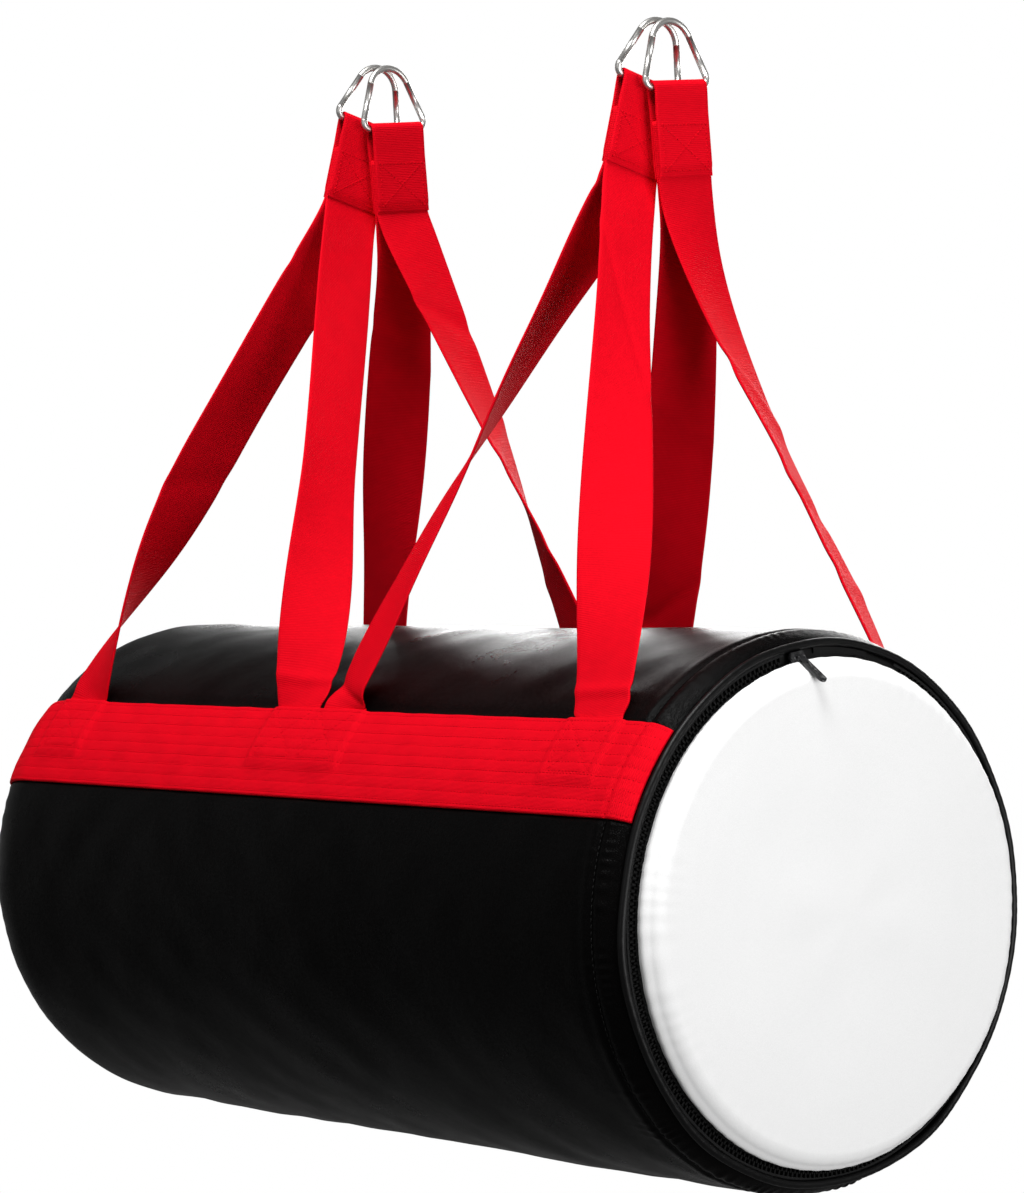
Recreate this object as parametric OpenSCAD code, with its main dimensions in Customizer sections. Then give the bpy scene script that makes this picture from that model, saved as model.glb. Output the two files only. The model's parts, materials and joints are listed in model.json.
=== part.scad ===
// Horizontal heavy punching bag, hung from two hooks by four webbing V straps.
// Origin: middle of the hook line. +X points to the zip-off end panel, -Y to the front.

/* [Bag] */
// Outside diameter of the bag
bag_d = 376; // [320:1:420]
// Distance from the hook line to the zipped rim
near_x = 367; // [345:1:440]
// Distance from the hook line to the sewn far end
far_x = 400; // [370:1:470]
// Height of the hooks above the bag's axis
hang_drop = 616; // [560:1:760]
// Thickness of the synthetic leather
skin_t = 1.6; // [1:0.1:3]
// Rounding of the sewn far end
far_round = 72; // [40:1:100]
// Rounding of the shell where it meets the zipped rim
rim_round = 24; // [18:1:40]
// How far the rounding starts before the zipped rim
rim_set = 18; // [12:1:22]

/* [Filling] */
// Thickness of the foam round the filling
foam_t = 25; // [10:1:45]
// Thickness of the foam pads at the ends
pad_t = 18; // [8:1:30]
// Thickness of the canvas sack
sack_t = 1; // [0.6:0.1:2]
// Gap left between layers
layer_gap = 0.2; // [0.1:0.05:0.5]

/* [Rim and end panel] */
// Diameter of the welt cord
welt_d = 6; // [4:0.2:8]
// Width of the groove that holds the zip
groove_w = 8.6; // [8.2:0.1:12]
// How far the padded end panel stands out
dome_h = 21; // [19:1:40]
// Rounding of the padded panel's edge
dome_round = 12; // [8:0.5:14]
// Extra height of the panel's middle
dome_rise = 5; // [2:0.5:9]
// Half of the angle that the sewn hinge covers
hinge_half = 8; // [5:1:9]
// How much smaller the near foam pad is than the rim it lies in
pad_slack = 2; // [1:0.5:6]

/* [Zip] */
// How far the zip lies beyond the rim
tape_set = 2.4; // [1.4:0.1:3]
// Width of the zip tape under the padded panel
tape_in = 8; // [5:0.5:12]
// Tape thickness
tape_t = 0.8; // [0.5:0.1:1.2]
// Distance between teeth of one row
tooth_pitch = 4; // [4:0.5:8]
// Tooth width along the row
tooth_w = 1.3; // [0.8:0.1:1.4]
// Tooth length across the row
tooth_l = 3.2; // [2.6:0.1:3.6]
// Tooth thickness
tooth_t = 2.4; // [1.6:0.1:3]
// How far the two rows mesh
tooth_mesh = 0.8; // [0.4:0.1:1.2]
// Angle from the top to the parked slider
park_angle = 14; // [13:0.5:18]
// Slider length along the row
slider_l = 13; // [9:0.5:14]
// Slider width
slider_w = 8; // [7:0.1:8.4]
// Slider thickness
slider_t = 2.6; // [2:0.1:3.4]
// Height of the bail over the slider
bail_h = 3; // [2.6:0.1:4]
// Length of the pull tab
pull_l = 25; // [16:1:34]
// Width of the pull tab
pull_w = 6; // [4:0.5:8]
// Thickness of the pull tab
pull_t = 1.4; // [1:0.1:2]
// Holes along the pull tab
pull_holes = 5; // [0:1:6]
// Diameter of a hole in the pull tab
pull_hole_d = 1.4; // [0.8:0.1:2]
// Distance between holes in the pull tab
pull_hole_step = 3; // [2.4:0.1:3.4]
// Tilt of the resting pull out of the rim plane
pull_tilt = 52; // [49:1:75]

/* [Webbing] */
// Width of the strap webbing
web_w = 50; // [38:1:54]
// Thickness of the webbing
web_t = 2; // [1.2:0.1:2.6]
// Width of the reinforcing bands
band_w = 72; // [60:1:90]
// Angle from the top of the bag to a band's middle
band_angle = 62; // [50:1:75]
// Distance between the two hooks
hook_span = 325; // [280:1:400]
// Distance from a hook to the straps' ends along the bag
strap_reach = 137; // [115:1:140]
// Depth to which a strap is tucked under its band
tuck = 46; // [30:1:60]
// How far a leg runs on straight out of its fold
leave_l = 44; // [40:1:70]
// How far above its band a leg turns down to it
land_l = 34; // [20:1:50]

/* [D-rings] */
// Wire diameter
wire_d = 5; // [4:0.1:6.5]
// Width between the middles of the corners
ring_w = 58; // [57:1:66]
// Height from bar to top, middle to middle of the wire
ring_h = 47; // [42:1:60]
// Radius at the top of the ring
ring_top_r = 19; // [15:0.5:24]
// Radius at the bottom corners
ring_corner_r = 5.5; // [4:0.5:8]
// Tilt of each V away from the middle
v_tilt = 10; // [6:0.5:14]
// Distance between the bars of the two rings on one hook
bar_gap = 14; // [13:0.5:18]
// Space between the two rings at the hook
top_gap = 1.2; // [0.8:0.1:3]
// Gap between a ring's bar and its webbing
bar_clear = 0.35; // [0.2:0.05:0.6]
// Depth of the stitched fold below the bar
fold_h = 64; // [50:1:80]
// Depth at which the fold closes below the bar
pinch_h = 22; // [16:1:30]

/* [Hidden] */

$fn = 96;
bag_r = bag_d / 2;
far_face = -far_x;
far_start = far_face + far_round;
near_start = near_x - rim_set;
rim_r = bag_r - rim_round + sqrt(rim_round * rim_round - rim_set * rim_set);
far_seam_r = bag_r - far_round + far_round * cos(45);
far_seam_x = far_start - far_round * sin(45);
foam_r = bag_r - skin_t - layer_gap;
sack_r = foam_r - foam_t - layer_gap;
fill_r = sack_r - sack_t - layer_gap;

seat = 0.1;
slide_gap = 0.3;

// The rim, from the outside in: welt, groove with the zip, padded panel.
welt_r = rim_r - skin_t / 2;
welt_x = near_x + welt_d / 2 + layer_gap;
welt_in = welt_r - welt_d / 2;
panel_r = welt_in - groove_w;
tape_x = near_x + tape_set;
zip_r = welt_in - groove_w / 2 - slide_gap;
teeth_span = [park_angle + 4, 342];
row_start = 0.25;

band_off = 0.2;
band_half = band_w / 2 / bag_r * 180 / PI;
soft_gap = 0.15;
tail_r = bag_r + band_off;

hook_x = hook_span / 2;
top_z = wire_d / 2;
ring_off = (wire_d + top_gap) / 2;
bar_x = bar_gap / 2;
bar_z = top_z - ring_h * cos(v_tilt);
bar_y = ring_h * sin(v_tilt);
lean = asin((bar_x - ring_off) / ring_h);
fold_in = wire_d / 2 + bar_clear;
fold_out = fold_in + web_t;
steps = 26;
tail_steps = 6;

function unit(v) = v / norm(v);
function smooth(u) = u * u * (3 - 2 * u);
function clamp01(u) = min(1, max(0, u));
// Point on the bag at x, angle from the top towards the front, and radius.
function on_bag(x, angle, r) = [x, -r * sin(angle), -hang_drop + r * cos(angle)];

// Stands children that are modelled round Z along the bag's axis.
module along_bag() {
    translate([0, 0, -hang_drop]) rotate([0, 90, 0]) children();
}

// Ring or part of one: radii r0 to r1, x0 to x1, angles from the top towards the front.
module arc_plate(r0, r1, x0, x1, a0 = 0, a1 = 360) {
    along_bag()
        rotate([0, 0, 180 + a0])
            rotate_extrude(angle = a1 - a0)
                translate([r0, x0]) square([r1 - r0, x1 - x0]);
}

// Half section of the stuffed bag, grown by off.
module bag_section(off = 0) {
    intersection() {
        union() {
            translate([0, far_start]) square([bag_r + off, near_start - far_start]);
            translate([0, far_face - off]) square([bag_r - far_round, far_round + off]);
            translate([bag_r - far_round, far_start]) circle(r = far_round + off);
            translate([0, near_start - 1]) square([bag_r - rim_round, rim_set + 1]);
            translate([bag_r - rim_round, near_start]) circle(r = rim_round + off);
        }
        translate([0, far_face - off]) square([2 * bag_r, near_x - far_face + off]);
    }
}

module skin_section() {
    difference() {
        bag_section();
        bag_section(-skin_t);
        translate([-1, near_x - rim_set]) square([rim_r - skin_t + 1, 2 * rim_set]);
    }
}

module outer_shell() {
    color("black") along_bag() rotate_extrude() difference() {
        skin_section();
        translate([-1, far_face - 1]) square([bag_d, far_seam_x - far_face + 1]);
    }
}

module far_end_panel() {
    color("black") along_bag() rotate_extrude() intersection() {
        skin_section();
        translate([0, far_face - 1]) square([bag_d, far_seam_x - far_face + 1 - layer_gap]);
    }
}

module foam_liner() {
    color("khaki") arc_plate(sack_r + layer_gap, foam_r, far_start, near_start - layer_gap);
}

module far_foam_pad() {
    in_gap = skin_t + layer_gap;
    color("khaki") along_bag() rotate_extrude() intersection() {
        bag_section(-in_gap);
        translate([0, far_face]) square([bag_d, far_round - layer_gap]);
    }
}

module near_foam_pad() {
    color("khaki") arc_plate(0, rim_r - skin_t - pad_slack, near_x - pad_t, near_x - layer_gap);
}

module canvas_sack() {
    color("beige") along_bag() rotate_extrude() difference() {
        translate([0, far_start]) square([sack_r, near_x - pad_t - layer_gap - far_start]);
        translate([-1, far_start + sack_t])
            square([sack_r - sack_t + 1, near_x - pad_t - layer_gap - far_start - 2 * sack_t]);
    }
}

module filling() {
    color("dimgray")
        arc_plate(0, fill_r, far_start + sack_t + layer_gap, near_x - pad_t - sack_t - 2 * layer_gap);
}

module rim_welt() {
    color("black") along_bag() rotate_extrude()
        translate([welt_r, welt_x]) circle(d = welt_d, $fn = 32);
}

module hinge_strip() {
    color("black") arc_plate(
        zip_r + 2 * slide_gap, welt_in - seat, tape_x, tape_x + tape_t, -hinge_half, hinge_half);
}

// Zip parts. The shell's row points in, the panel's row points out.
module zip_tape(r0, r1) {
    color("black") arc_plate(r0, r1, tape_x, tape_x + tape_t, teeth_span[0] - 1, teeth_span[1] + 1);
}

module zip_teeth(r0, r1, start) {
    pitch_angle = tooth_pitch / zip_r * 180 / PI;
    count = floor((teeth_span[1] - teeth_span[0]) / pitch_angle);
    mid_x = tape_x + tape_t / 2;
    color("black") along_bag() for (i = [0:count - 1])
        rotate([0, 0, 180 + teeth_span[0] + (i + start) * pitch_angle])
            translate([r0, -tooth_w / 2, mid_x - tooth_t / 2]) cube([r1 - r0, tooth_w, tooth_t]);
}

module shell_zip_tape() {
    zip_tape(zip_r + tooth_l - tooth_mesh / 2 + seat, welt_in - seat);
}

module shell_zip_teeth() {
    zip_teeth(zip_r - tooth_mesh / 2, zip_r + tooth_l - tooth_mesh / 2, row_start);
}

module panel_zip_tape() {
    zip_tape(panel_r - tape_in, zip_r - tooth_l + tooth_mesh / 2 - seat);
}

module panel_zip_teeth() {
    zip_teeth(zip_r - tooth_l + tooth_mesh / 2, zip_r + tooth_mesh / 2, row_start + 0.5);
}

// Padded end panel: a lens of foam under a cover.
module dome_section(off = 0) {
    base_x = tape_x + tape_t + layer_gap + off;
    face_x = near_x + dome_h;
    bend_r = panel_r - dome_round;
    top_r = (bend_r * bend_r + dome_rise * dome_rise) / (2 * dome_rise);
    translate([0, base_x]) square([bend_r, face_x - off - base_x]);
    translate([0, base_x]) square([panel_r - off, face_x - dome_round - base_x]);
    intersection() {
        translate([bend_r, face_x - dome_round]) circle(r = dome_round - off);
        translate([0, base_x]) square([panel_r, dome_h]);
    }
    intersection() {
        translate([0, face_x + dome_rise - top_r]) circle(r = top_r - off, $fn = 720);
        translate([0, face_x - dome_round]) square([bend_r, dome_h]);
    }
}

module end_panel() {
    color("white") along_bag() rotate_extrude() difference() {
        dome_section();
        dome_section(skin_t);
    }
}

module panel_pad() {
    color("khaki") along_bag() rotate_extrude() dome_section(skin_t + layer_gap);
}

module panel_backing() {
    color("black") arc_plate(0, panel_r - tape_in - slide_gap, tape_x, tape_x + tape_t);
}

// Slider over the rows, with a lug for the pull.
module at_park() {
    along_bag() rotate([0, 0, 180 + park_angle]) children();
}

slider_x = tape_x + tape_t / 2 + tooth_t / 2 + slide_gap;
slider_r = welt_in - groove_w / 2;
lug_d = 3;
lug_t = 1.2;
lug_x = slider_x + slider_t + bail_h;
pin_d = 1.2;

module zip_slider() {
    color("black") at_park() translate([slider_r, 0, slider_x]) {
        intersection() {
            translate([-slider_w / 2, -slider_l / 2, 0]) cube([slider_w, slider_l, slider_t]);
            cylinder(d = slider_l, h = slider_t);
        }
        for (side = [-1, 1]) translate([0, side * (pull_w - lug_t) / 2 + lug_t / 2, 0]) {
            translate([-lug_d / 2, -lug_t, slider_t - seat]) cube([lug_d, lug_t, bail_h + seat]);
            translate([0, 0, slider_t + bail_h]) rotate([90, 0, 0])
                cylinder(d = lug_d, h = lug_t, $fn = 32);
        }
        translate([0, pull_w / 2, lug_x - slider_x]) rotate([90, 0, 0])
            cylinder(d = pin_d, h = pull_w, $fn = 32);
    }
}

// Slotted tab with a row of small holes.
module zip_pull() {
    eye_w = pull_w - 2 * lug_t - 2 * slide_gap;
    root = lug_d / 2;
    color("black") at_park() translate([slider_r, 0, lug_x]) rotate([0, pull_tilt - 90, 0])
        rotate([0, -90, 0]) translate([0, 0, -pull_t / 2]) difference() {
            union() {
                translate([root, -pull_w / 2, 0]) cube([pull_l - root - pull_w / 2, pull_w, pull_t]);
                translate([pull_l - pull_w / 2, 0, 0]) cylinder(d = pull_w, h = pull_t, $fn = 48);
                translate([0, -eye_w / 2, 0]) cube([root + 1, eye_w, pull_t]);
                translate([0, eye_w / 2, pull_t / 2]) rotate([90, 0, 0])
                    cylinder(d = lug_d, h = eye_w, $fn = 32);
            }
            translate([0, eye_w, pull_t / 2]) rotate([90, 0, 0])
                cylinder(d = pin_d + 2 * slide_gap, h = 2 * eye_w, $fn = 32);
            for (i = [1:pull_holes])
                translate([lug_d + i * pull_hole_step, 0, -1])
                    cylinder(d = pull_hole_d, h = pull_t + 2, $fn = 24);
        }
}

// Band sewn along one side, raised where the straps run under it.
module band(side) {
    a0 = band_angle - band_half;
    a1 = band_angle + band_half;
    hump_w = web_w + 2 * web_t;
    pocket_w = web_w + 2 * soft_gap;
    pocket_a = a0 + (tuck + 2 * soft_gap) / bag_r * 180 / PI;
    hump_a = pocket_a + web_t / bag_r * 180 / PI;
    band_r = tail_r + web_t;
    color("crimson") mirror([0, side < 0 ? 0 : 1, 0]) difference() {
        union() {
            along_bag() rotate([0, 0, 180 + a0]) rotate_extrude(angle = a1 - a0) difference() {
                bag_section(band_off + web_t);
                bag_section(band_off);
                translate([-1, far_face - bag_r]) square([2 * bag_r, bag_r + far_seam_x - far_face]);
                translate([-1, near_x - 4]) square([2 * bag_r, bag_r]);
            }
            for (x = strap_places())
                arc_plate(tail_r + web_t / 2, band_r + web_t + soft_gap,
                    x - hump_w / 2, x + hump_w / 2, a0, hump_a);
        }
        for (x = strap_places())
            arc_plate(bag_r - 1, band_r + soft_gap,
                x - pocket_w / 2, x + pocket_w / 2, a0 - 1, pocket_a);
    }
}

function strap_places() = [for (end = [-1, 1], way = [-1, 1]) end * hook_x + way * strap_reach];

// Webbing ribbon through a list of frames: [point, across, normal]. Both wide
// faces are split along the same diagonal, so a twisted stretch keeps its thickness.
module ribbon(frames) {
    last = len(frames) - 1;
    hw = web_w / 2;
    ht = web_t / 2;
    points = [for (f = frames, c = [[-1, -1], [1, -1], [1, 1], [-1, 1]])
        f[0] + f[1] * c[0] * hw + f[2] * c[1] * ht];
    sides = [for (i = [0:last - 1], k = [0:3], half = [0, 1])
        let (a = 4 * i + k, b = 4 * i + (k + 1) % 4)
        k < 2 ? (half == 0 ? [b + 4, b, a] : [a + 4, b + 4, a])
              : (half == 0 ? [a + 4, b, a] : [a + 4, b + 4, b])];
    caps = [[0, 1, 2, 3], [for (k = [3:-1:0]) 4 * last + k]];
    polyhedron(points = points, faces = concat(caps, sides), convexity = 6);
}

function curve_point(p, s) =
    p[0] * pow(1 - s, 3) + p[1] * 3 * s * pow(1 - s, 2) + p[2] * 3 * s * s * (1 - s) + p[3] * pow(s, 3);
function curve_way(p, s) = unit(
    (p[1] - p[0]) * pow(1 - s, 2) + (p[2] - p[1]) * 2 * s * (1 - s) + (p[3] - p[2]) * s * s);
function square_to(v, t) = unit(v - t * (v * t));
function wrap_way(a, sense) = sense > 0 && a < 0 ? a + 180 : sense < 0 && a > 0 ? a - 180 : a;
// Frame along the strap: it starts flat against the fold and ends flat along the bag.
function strap_frame(p, s, bar, sense, from, to) =
    let (t = curve_way(p, s))
    let (b = square_to(bar, t))
    let (c = cross(t, b))
    let (e = square_to([1, 0, 0], t))
    let (turn = wrap_way(atan2(e * c, e * b), sense) * smooth(clamp01((s - from) / (to - from))))
    let (across = b * cos(turn) + c * sin(turn))
    [curve_point(p, s), across, cross(t, across)];

// One strap from its fold to its band. end: far -1, near 1. way: towards -X or +X.
// The twist runs with the given sense between the from and to shares of the length.
module strap(end, side, way, sense, from, to) {
    start = end * hook_x;
    anchor_x = start + way * strap_reach;
    down = [0, side * sin(v_tilt), -cos(v_tilt)];
    bar = [0, cos(v_tilt), side * sin(v_tilt)];
    mid = [start + side * bar_x, side * bar_y, bar_z] + [way * (web_t + soft_gap) / 2, 0, 0];
    edge = band_angle - band_half;
    up = [0, -side * cos(edge), sin(edge)];
    meet = on_bag(anchor_x, -side * edge, tail_r + web_t / 2);
    p0 = mid + down * fold_h;
    path = [p0, p0 + down * leave_l, meet + up * land_l, meet];
    head = mid + down * (pinch_h + 2);
    top = [head, bar, cross(down, bar)];
    turned = [for (i = [0:steps]) strap_frame(path, i / steps, bar, sense, from, to)];
    flat = turned[steps][1];
    tail_a = tuck / bag_r * 180 / PI;
    tail = [for (i = [1:tail_steps]) let (a = edge + i * tail_a / tail_steps, r = tail_r + web_t / 2)
        [on_bag(anchor_x, -side * a, r), flat, cross([0, side * cos(a), -sin(a)], flat)]];
    color("crimson") ribbon(concat([top], turned, tail));
}

module strap_front_far_outer() { strap(-1, -1, -1, -1, 0.4, 0.95); }
module strap_front_far_inner() { strap(-1, -1, 1, 1, 0.5, 0.97); }
module strap_front_near_inner() { strap(1, -1, -1, -1, 0, 0.85); }
module strap_front_near_outer() { strap(1, -1, 1, 1, 0.3, 0.95); }
module strap_back_far_outer() { strap(-1, 1, -1, 1, 0.05, 0.8); }
module strap_back_far_inner() { strap(-1, 1, 1, -1, 0.05, 0.95); }
module strap_back_near_inner() { strap(1, 1, -1, 1, 0.1, 0.8); }
module strap_back_near_outer() { strap(1, 1, 1, -1, 0, 1); }

// Places children at a ring's bar: bar along Y, the fold below, the ring above.
module at_bar(end, side) {
    translate([end * hook_x + side * bar_x, side * bar_y, bar_z])
        rotate([side * v_tilt, 0, 0]) children();
}

// Half width a at the bar, b from the pinch down to the end, starting at height h.
module ply_section(a, b, end, h) {
    half = [[a, h], [a, -wire_d], [b, -pinch_h], [b, -end]];
    polygon(concat(half, [for (i = [3:-1:0]) [-half[i][0], half[i][1]]]));
}

// Webbing folded over the bar and sewn round the two strap heads.
module fold(end, side) {
    leg_half = web_t + soft_gap;
    color("crimson") at_bar(end, side) rotate([90, 0, 0]) translate([0, 0, -web_w / 2]) difference() {
        union() {
            cylinder(r = fold_out, h = web_w);
            linear_extrude(web_w) ply_section(fold_out, leg_half + web_t, fold_h, 0);
        }
        translate([0, 0, -1]) cylinder(r = fold_in, h = web_w + 2);
        translate([0, 0, -1]) linear_extrude(web_w + 2) ply_section(fold_in, leg_half, fold_h + 1, 0);
    }
}

module fold_front_far() { fold(-1, -1); }
module fold_back_far() { fold(-1, 1); }
module fold_front_near() { fold(1, -1); }
module fold_back_near() { fold(1, 1); }

// D-ring: straight bar, two bent corners, straight sides and a round top.
corner = [ring_w / 2 - ring_corner_r, ring_corner_r];
crown = [0, ring_h - ring_top_r];
reach = norm(crown - corner);
// The straight rods end inside the bends, a hair slimmer.
rod_seat = 0.5;
rod_step = 0.1;
side_angle = atan2(crown[1] - corner[1], crown[0] - corner[0])
    - acos((ring_corner_r - ring_top_r) / reach);

module bend(at, r, a0, a1) {
    translate(at) rotate([0, 0, a0]) rotate_extrude(angle = a1 - a0)
        translate([r, 0]) circle(d = wire_d, $fn = 32);
}

module rod(p, q) {
    way = q - p;
    translate([p[0], p[1], 0]) rotate([0, 0, atan2(way[1], way[0])]) rotate([0, 90, 0])
        translate([0, 0, -rod_seat])
            cylinder(d = wire_d - rod_step, h = norm(way) + 2 * rod_seat, $fn = 32);
}

module d_ring(end, side) {
    out = [cos(side_angle), sin(side_angle)];
    color("silver") at_bar(end, side) rotate([0, -side * lean, 0]) rotate([90, 0, 90]) {
        rod([-corner[0], 0], [corner[0], 0]);
        for (flip = [0, 1]) mirror([flip, 0, 0]) {
            bend(corner, ring_corner_r, -90, side_angle);
            rod(corner + out * ring_corner_r, crown + out * ring_top_r);
        }
        bend(crown, ring_top_r, side_angle, 180 - side_angle);
    }
}

module d_ring_front_far() { d_ring(-1, -1); }
module d_ring_back_far() { d_ring(-1, 1); }
module d_ring_front_near() { d_ring(1, -1); }
module d_ring_back_near() { d_ring(1, 1); }

module front_band() { band(-1); }
module back_band() { band(1); }

outer_shell();
far_end_panel();
foam_liner();
far_foam_pad();
near_foam_pad();
canvas_sack();
filling();
rim_welt();
hinge_strip();
shell_zip_tape();
shell_zip_teeth();
front_band();
back_band();
strap_front_far_outer();
strap_front_far_inner();
strap_front_near_inner();
strap_front_near_outer();
strap_back_far_outer();
strap_back_far_inner();
strap_back_near_inner();
strap_back_near_outer();
fold_front_far();
fold_back_far();
fold_front_near();
fold_back_near();
d_ring_front_far();
d_ring_back_far();
d_ring_front_near();
d_ring_back_near();
end_panel();
panel_pad();
panel_backing();
panel_zip_tape();
panel_zip_teeth();
zip_slider();
zip_pull();
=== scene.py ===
"""Looks of a horizontal heavy bag that hangs from two hooks by four V straps.

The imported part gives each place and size. Every class below dresses one sub-assembly:
the leather body, the padded end panel, the webbing bands, legs and folds, the D-rings,
the zip and the filling, and then the plain studio that they hang in.
"""

from __future__ import annotations

import json
import logging
import math
from dataclasses import dataclass, field
from enum import Enum
from typing import Sequence

import bmesh
import bpy
import numpy as np
from mathutils import Matrix, Vector

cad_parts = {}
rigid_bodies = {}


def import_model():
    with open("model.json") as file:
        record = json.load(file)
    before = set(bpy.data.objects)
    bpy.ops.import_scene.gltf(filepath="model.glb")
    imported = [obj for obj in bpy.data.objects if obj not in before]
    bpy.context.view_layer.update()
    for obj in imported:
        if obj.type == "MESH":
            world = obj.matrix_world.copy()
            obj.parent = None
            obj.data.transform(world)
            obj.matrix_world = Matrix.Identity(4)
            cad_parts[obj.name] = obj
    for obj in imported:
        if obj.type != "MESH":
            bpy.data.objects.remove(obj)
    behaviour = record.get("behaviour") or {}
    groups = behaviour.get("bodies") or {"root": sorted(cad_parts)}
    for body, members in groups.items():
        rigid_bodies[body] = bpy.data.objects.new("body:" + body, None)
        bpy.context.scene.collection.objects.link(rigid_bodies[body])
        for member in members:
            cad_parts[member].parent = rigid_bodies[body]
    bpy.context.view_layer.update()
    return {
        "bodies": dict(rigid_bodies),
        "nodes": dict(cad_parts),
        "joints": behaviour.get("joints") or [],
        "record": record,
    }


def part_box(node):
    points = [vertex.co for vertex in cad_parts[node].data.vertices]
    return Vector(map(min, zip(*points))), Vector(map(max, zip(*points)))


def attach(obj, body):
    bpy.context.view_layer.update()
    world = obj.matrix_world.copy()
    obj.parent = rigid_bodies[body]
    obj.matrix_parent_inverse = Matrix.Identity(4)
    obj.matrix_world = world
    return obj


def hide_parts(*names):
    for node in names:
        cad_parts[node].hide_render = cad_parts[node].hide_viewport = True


log = logging.getLogger("heavy_bag")

UV_UNIT = 0.01  # metres of cloth for one unit of the cloth's UV map
FULL_TURN = 2 * math.pi
SEAM_TILT = math.radians(45)  # where the far seam lies on the far end's rounding
LONG_WAVES = (0.3, 0.9)  # wave lengths of ripples that only run round the bag

Colour = tuple[float, float, float]
Material = bpy.types.Material
Object = bpy.types.Object
Socket = bpy.types.NodeSocket
Link = tuple[bpy.types.Node, int | str, bpy.types.Node, int | str]


class Named(Enum):
    """Place on the bag whose name is used in node and piece names."""

    @property
    def word(self) -> str:
        """Name used in node and piece names."""
        return self.name.lower()


class Side(Named):
    """Side of the bag that a band or a V belongs to."""

    FRONT = -1
    BACK = 1


class End(Named):
    """End of the bag that a hook belongs to."""

    FAR = -1
    NEAR = 1


class Leg(Enum):
    """Leg of a V: it leads to the bag's end or to its middle."""

    OUTER = "outer"
    INNER = "inner"


# --------------------------------------------------------------------------- meshes


def smooth_step(value: np.ndarray | float) -> np.ndarray:
    """Rise smoothly from 0 to 1 as value goes from 0 to 1."""
    v = np.clip(value, 0.0, 1.0)
    return v * v * (3 - 2 * v)


def bump(value: np.ndarray | float, width: float) -> np.ndarray:
    """Bell of height 1 round 0, with the given half width."""
    return np.exp(-((np.asarray(value) / width) ** 2))


def unit(vector: np.ndarray) -> np.ndarray:
    """Return the vector at length 1."""
    return vector / np.linalg.norm(vector)


def new_object(name: str, data: bpy.types.ID) -> Object:
    """Put a new object with this data at the scene's origin."""
    made = bpy.data.objects.new(name, data)
    bpy.context.scene.collection.objects.link(made)
    return made


def join(tree: bpy.types.NodeTree, links: Sequence[Link]) -> None:
    """Join the nodes of a tree.

    Args:
        tree: The tree.
        links: For each link a node, its output, the next node and its input.
    """
    for start, out, end, into in links:
        tree.links.new(start.outputs[out], end.inputs[into])


def dress(piece: Object, body: str, slot: str, *nodes: str) -> None:
    """Let a piece ride on a body and stand for CAD nodes.

    Args:
        piece: The piece.
        body: Body that it moves with.
        slot: Material slot of the record; not used.
        *nodes: CAD nodes that it stands for, if any.
    """
    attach(piece, body)
    if nodes:
        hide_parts(*nodes)


def make_object(
    name: str,
    points: np.ndarray,
    faces: Sequence[Sequence[int]],
    material: Material,
    uv: np.ndarray | None = None,
    closed: bool = True,
    sharp_angle: float | None = None,
) -> Object:
    """Make a mesh object at the origin with its place in its mesh.

    Args:
        name: Name of the piece.
        points: Vertex positions in metres.
        faces: Vertex indices of each face.
        material: Finish of the piece.
        uv: Position of each vertex on the cloth, or None.
        closed: Whether the normals are recalculated to point outwards.
        sharp_angle: Angle in degrees past which an edge stays sharp, or None.

    Returns:
        The linked object.
    """
    mesh = bpy.data.meshes.new(name)
    mesh.from_pydata(np.asarray(points, float).tolist(), [], [list(f) for f in faces])
    if uv is not None:
        layer = mesh.uv_layers.new(name="cloth")
        index = np.zeros(len(mesh.loops), int)
        mesh.loops.foreach_get("vertex_index", index)
        layer.data.foreach_set("uv", np.asarray(uv, float)[index].ravel())
    if closed:
        work = bmesh.new()
        work.from_mesh(mesh)
        bmesh.ops.recalc_face_normals(work, faces=work.faces)
        work.to_mesh(mesh)
        work.free()
    mesh.shade_smooth()
    if sharp_angle is not None:
        mesh.set_sharp_from_angle(angle=math.radians(sharp_angle))
    mesh.materials.append(material)
    return new_object(name, mesh)


def grid_faces(rows: int, cols: int, wrap: bool, start: int = 0) -> list[tuple[int, ...]]:
    """List the quads of a grid of points.

    Args:
        rows: Number of rows.
        cols: Number of points in a row.
        wrap: Whether the last point of a row joins the first.
        start: Index of the first point.

    Returns:
        The faces as tuples of indices.
    """
    span = cols if wrap else cols - 1
    i, j = np.meshgrid(np.arange(rows - 1), np.arange(span), indexing="ij")
    k = (j + 1) % cols
    quads = np.stack([i * cols + j, i * cols + k, (i + 1) * cols + k, (i + 1) * cols + j], -1)
    return [tuple(q) for q in (quads.reshape(-1, 4) + start).tolist()]


def tube_object(
    name: str,
    loops: np.ndarray,
    material: Material,
    uv: np.ndarray | None = None,
    ring: bool = False,
    sharp_angle: float | None = None,
) -> Object:
    """Make a closed piece from a stack of closed loops.

    Args:
        name: Name of the piece.
        loops: Array of rows, points and coordinates.
        material: Finish of the piece.
        uv: Array of rows, points and two cloth coordinates, or None.
        ring: Whether the last loop joins the first.
        sharp_angle: Angle past which an edge stays sharp, or None.

    Returns:
        The object.
    """
    rows, cols = loops.shape[:2]
    faces = grid_faces(rows, cols, True)
    if ring:
        last = (rows - 1) * cols
        faces += [(last + j, last + (j + 1) % cols, (j + 1) % cols, j) for j in range(cols)]
    else:
        faces += [tuple(range(cols))[::-1], tuple(range((rows - 1) * cols, rows * cols))]
    flat_uv = None if uv is None else uv.reshape(-1, 2)
    return make_object(name, loops.reshape(-1, 3), faces, material, flat_uv, True, sharp_angle)


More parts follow.
